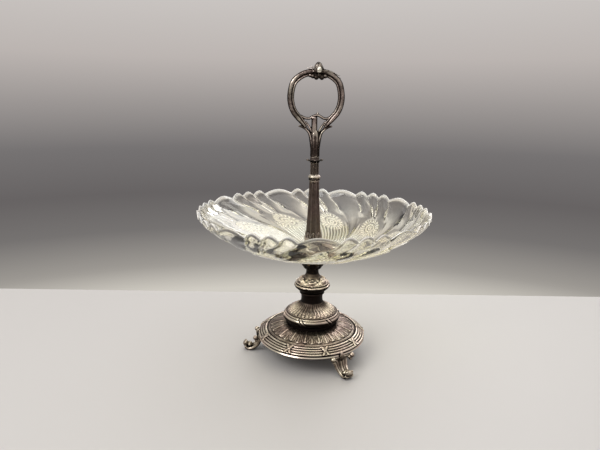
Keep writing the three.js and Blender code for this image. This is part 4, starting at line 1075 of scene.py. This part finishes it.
def fork_grid():
    """The fluted stalk of the fork, round at its foot and wider in X where the branches part. Its outline
    has the height, the half widths in X and Y and how deep the flutes are."""
    turn = full_turn(96)
    rings = []
    for up, half_x, half_y, fluted in curve(FORK_OUTLINE, 0.5):
        flute = 1 - 0.09 * fluted * np.abs(np.cos(4 * turn)) ** 1.5
        rings.append(gathered(half_x * flute * np.cos(turn), half_y * flute * np.sin(turn), HANDLE_Z + up))
    return np.array(rings), False


def fork_leaves():
    """Both branches' long leaf with the two stems that spring from under it."""
    tulip = [(2.2, 6), (3.6, 14), (4.6, 18.8), (6.0, 22.3), (8.9, 25.2), (12.4, 27.1), (15.4, 27.9)]
    outer_stem = [(3.2, 15), (5.6, 21.5), (8.4, 26.2), (11.8, 30.6)]
    inner_stem = [(1.6, 17), (3.4, 22.6), (5.8, 27.4), (9.2, 31.8)]
    shapes = []
    for side in (-1, 1):
        for path, section, step in [
            (tulip, blade_section(7.0, 3.4, 2.0), 0.3),
            (outer_stem, round_section(1.15, 1.4), 0.4),
            (inner_stem, round_section(1.05, 1.3), 0.4),
        ]:
            mirrored = [(side * x, HANDLE_Z + up) for x, up in path]
            shapes.append(swept(mirrored, section, step))
    return shapes


def berries():
    """The bunch that hangs from the ring's top on both faces, and the two buds beside it."""
    bunch = [ball(radius, (x, face * 1.1, LOOP_Z + up)) for x, up, radius in BERRIES for face in (-1, 1)]
    return bunch + [ball(radius, (x, 0, LOOP_Z + up), (1, 1.7, 1)) for x, up, radius in TOP_BUDS]


def make_handle():
    z = HANDLE_Z
    strap = beside_loop(STRAP_START, 1 - STRAP_START, lift=0, count=61)
    left_bridge = lifted(z, (-17.6, 38.2), (-13.2, 36.6), (-9, 34.9), (-5.2, 34.9), (-2, 36.6), (1.4, 37.6))
    right_bridge = lifted(z, (4.4, 36.6), (7.4, 34.9), (11.4, 34.9), (17.6, 38.4))
    post = lifted(z, (-1, 16), (-1, 26), (-1, 35.4))
    under_leaf = beside_loop(0.47, 0.36, [1.6, 2.2, 2.5, 2.5, 2.4, 2.4, 2.5, 2.8, 3.4])
    shapes = [
        swept(strap, strap_section, step=0.5),
        fork_grid(),
        *fork_leaves(),
        swept([*left_bridge, *right_bridge], round_section(1.3, 1.5)),
        swept(post, round_section(2.75), step=0.6),
        ball(3.0, (-1.4, 0, z + 35.2), (1, 1, 0.55)),
        ball(1.15, (1.8, 0, z + 39.1)),
        *berries(),
        swept(under_leaf, blade_section(4.6, 1.4)),
    ]
    # Painted light and shade: shade on the berries, the leaf tips and the fork, a highlight on the post.
    painted_shade_at_berries = (2, LOOP_Z - 3, 6, -0.45)
    painted_shade_on_leaf_tips = [(-13, z + 26, 4, -0.4), (13, z + 26, 4, -0.4)]
    painted_post_highlight, painted_shade_on_fork = (-1, z + 25, 3.5, 0.6), (0, z + 6, 12, -0.2)
    handle = cast("ring_handle", shapes, voxel=0.26, softening=4)
    return paint_light_and_shade(handle, painted_shade_at_berries, *painted_shade_on_leaf_tips, painted_post_highlight, painted_shade_on_fork)


def make_finial():
    z = LOOP_Z + STRAP_HALF_WIDTH - 0.7
    middle = 1.8
    strap_top = STRAP_HALF_WIDTH + np.array([-0.6, -0.4, -0.2, 0, 0.1, 0.2, 0.4, 0.8, 1.5])

    def bud_petals(angle, share, radius):
        return 0.55 * (np.abs(np.cos(3 * angle)) ** 0.7 - 0.5) * fade_ends(share, 0.15, 0.2)

    stalk = lifted(z, (0.05, -3), (1, -3), (1, 0))
    bud = lifted(z, (2.3, 0), (3.2, 1.0), (3.5, 2.5), (3.0, 4.1), (1.8, 5.3), (0.05, 5.9))
    cap = lifted(z, (0.2, 4.8), (1.6, 5.8), (3.6, 5.0), (5.0, 2.7), (6.6, 0.2), (9.2, -1.7), (12.4, -2.9))
    left = lifted(z, (0.4, 0.8), (-1.6, 1.8), (-3.6, 2.0), (-5.8, 2.6))
    shapes = [
        moved(turned([*stalk, (bud, bud_petals)], columns=72), 0, middle),
        ball(3.3, (middle + 0.6, 0, z - 0.7), (1, 1.6, 1.35)),
        swept(cap, blade_section(4.4, 1.4, 1.5)),
        swept(left, blade_section(3.8, 1.3, 1.5)),
        swept(beside_loop(0.455, 0.372, strap_top), blade_section(4.6, 1.2)),
        swept(beside_loop(0.497, 0.55, strap_top), blade_section(4.2, 1.2)),
    ]
    # Painted shade at the bud's tip and on the cap leaf, and a painted highlight on the bud.
    painted_shade_at_tip, painted_shade_on_cap = (middle, z + 4.8, 2.4, -0.6), (middle + 6, z + 0.8, 3.5, -0.55)
    painted_bud_highlight = (middle + 0.6, z - 0.5, 3.2, 0.7)
    return paint_light_and_shade(cast("bud_finial", shapes, voxel=0.18, softening=3), painted_shade_at_tip, painted_shade_on_cap, painted_bud_highlight)


# Fasteners
ROD_RADIUS = 3
ROD_BEVEL = 0.5
THREAD_PITCH = 1.0
THREAD_DEPTH = 0.3


def make_rod():
    low, high = foot_of("tie_rod"), top_of("tie_rod")

    def screw_thread(angle, share, radius):
        turns = share * (high - low - 2 * ROD_BEVEL) / THREAD_PITCH - angle / TURN
        return -THREAD_DEPTH * np.abs(2 * (turns % 1) - 1)

    thread = [(ROD_RADIUS, low + ROD_BEVEL), (ROD_RADIUS, high - ROD_BEVEL)]
    outline = [(0.05, low), (2.6, low), (thread, screw_thread), (2.6, high), (0.05, high)]
    return mesh_piece("threaded_rod", [turned(outline, columns=24)])


STAND = ("stand", "plated_silver")
HANDLE = ("handle", "tarnished_silver")
PIECES = [
    (make_base, *STAND, SILVER, "base_dome"),
    (make_trumpet, *STAND, SILVER, "stem_trumpet"),
    (make_knop, *STAND, LIT_KNOP_SILVER, "knop"),
    (make_calyx, *STAND, SILVER, "calyx_neck"),
    (make_dish, "bowl", "clear_glass", GLASS, "glass_dish"),
    (make_column_foot, *HANDLE, SHADED_SILVER, "column_foot"),
    (make_shaft, *HANDLE, SHADED_SILVER, "column_shaft"),
    (make_bead_collar, *HANDLE, SHADED_SILVER, "bead_collar"),
    (make_mid_shaft, *HANDLE, SHADED_SILVER, "mid_shaft"),
    (make_leaf_collar, *HANDLE, SHADED_SILVER, "leaf_collar"),
    (make_handle, *HANDLE, HANDLE_SILVER, "loop_handle"),
    (make_finial, *HANDLE, LIT_BUD_SILVER, "finial"),
    (make_rod, "stand", "dull_steel", STEEL, "tie_rod"),
]
for make, body, slot, finish, node in PIECES:
    dress(make(), body, slot, finish, node)
for foot, node in make_feet():
    dress(foot, *STAND, LIT_FOOT_SILVER, node)

# Nodes that keep their own shape
KEPT = {
    CORK: ["cup_washer", "hole_sleeve", "column_washer"],
    BRASS: ["thread_insert"],
    STEEL: ["base_disc", "spring_washer", "base_nut", "seat_nut", *SCREW_NAMES],
}
for finish, nodes in KEPT.items():
    for node in nodes:
        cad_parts[node].data.materials[0] = finish


# Table top, world, lamps and camera
TABLE_LOW = (-0.9, -0.8, -0.012)
TABLE_HIGH = (0.9, 0.155, 0.0)
TABLE_COLOUR = (0.585, 0.565, 0.545)
SKY = [
    (0.0, (0.5, 0.5, 0.5)), (0.25, (0.5, 0.49, 0.47)), (0.32, (0.64, 0.61, 0.55)),
    (0.345, (0.34, 0.32, 0.295)), (0.379, (0.18, 0.17, 0.165)), (0.413, (0.135, 0.125, 0.125)),
    (0.456, (0.18, 0.17, 0.17)), (0.5, (0.34, 0.315, 0.305)), (0.54, (0.5, 0.46, 0.44)),
    (0.6, (0.6, 0.57, 0.55)), (0.72, (0.5, 0.48, 0.47)), (1.0, (0.68, 0.665, 0.65)),
]
LAMP_AIM = Vector((0, 0, 0.12))
CAMERA_PLACE = (-0.0128, -0.4598, 0.2440)
CAMERA_PITCH = math.radians(13.91)
CAMERA_ROLL = math.radians(0.8)
CAMERA_LENS = 29.648


def make_table():
    """The pale table top, which ends a little way behind the bowl."""
    table = bmesh.new()
    bmesh.ops.create_cube(table, size=1)
    low, high = Vector(TABLE_LOW), Vector(TABLE_HIGH)
    bmesh.ops.scale(table, vec=high - low, verts=table.verts)
    bmesh.ops.translate(table, vec=(high + low) / 2, verts=table.verts)
    bmesh.ops.bevel(table, geom=table.edges[:], offset=2 * MM, segments=3, affect="EDGES")
    mesh = bpy.data.meshes.new("table_top")
    table.to_mesh(mesh)
    table.free()
    made, tree, shader = new_material("plain_table")
    feed(tree, shader, {"Base Color": (*TABLE_COLOUR, 1), "Roughness": 0.5})
    mesh.materials.append(made)
    linked("table_top", mesh)


def make_world():
    """Soft studio surroundings, pale below and above and greyer round the middle."""
    world = bpy.data.worlds.new("studio")
    bpy.context.scene.world = world
    world.use_nodes = True
    tree = world.node_tree
    way = coordinate(tree, "Generated")
    up = add_node(tree, "ShaderNodeSeparateXYZ", {"Vector": way}).outputs["Z"]
    sky = ramp(tree, add_node(tree, "ShaderNodeMapRange", {"Value": up, "From Min": -1.0}).outputs[0], SKY)
    feed(tree, tree.nodes["Background"], {"Color": sky})


def add_lamp(name, place, size, brightness):
    """A soft box aimed at the bowl. Its power follows from its size and how bright its face looks."""
    light = bpy.data.lights.new(name, "AREA")
    light.shape = "RECTANGLE"
    light.size, light.size_y = size
    light.energy = brightness * math.pi * size[0] * size[1]
    lamp = linked(name, light)
    lamp.location = place
    lamp.rotation_euler = (LAMP_AIM - Vector(place)).to_track_quat("-Z", "Y").to_euler()
    lamp.visible_camera = False


def add_camera():
    camera = linked("camera", bpy.data.cameras.new("camera"))
    camera.data.lens = CAMERA_LENS
    camera.data.sensor_width = 36
    camera.data.clip_start = 0.01
    tilt = Matrix.Rotation(math.pi / 2 - CAMERA_PITCH, 4, "X") @ Matrix.Rotation(CAMERA_ROLL, 4, "Z")
    camera.matrix_world = Matrix.Translation(CAMERA_PLACE) @ tilt
    bpy.context.scene.camera = camera


make_table()
make_world()
add_lamp("key", (-0.9, -0.7, 1.1), size=(0.8, 0.8), brightness=4.0)
add_lamp("top", (0.1, 0.1, 1.5), size=(1.9, 1.9), brightness=0.77)
add_lamp("back", (0.45, 1.0, 0.75), size=(1.1, 0.5), brightness=2.2)
add_camera()
bpy.context.scene.view_settings.view_transform = "Standard"
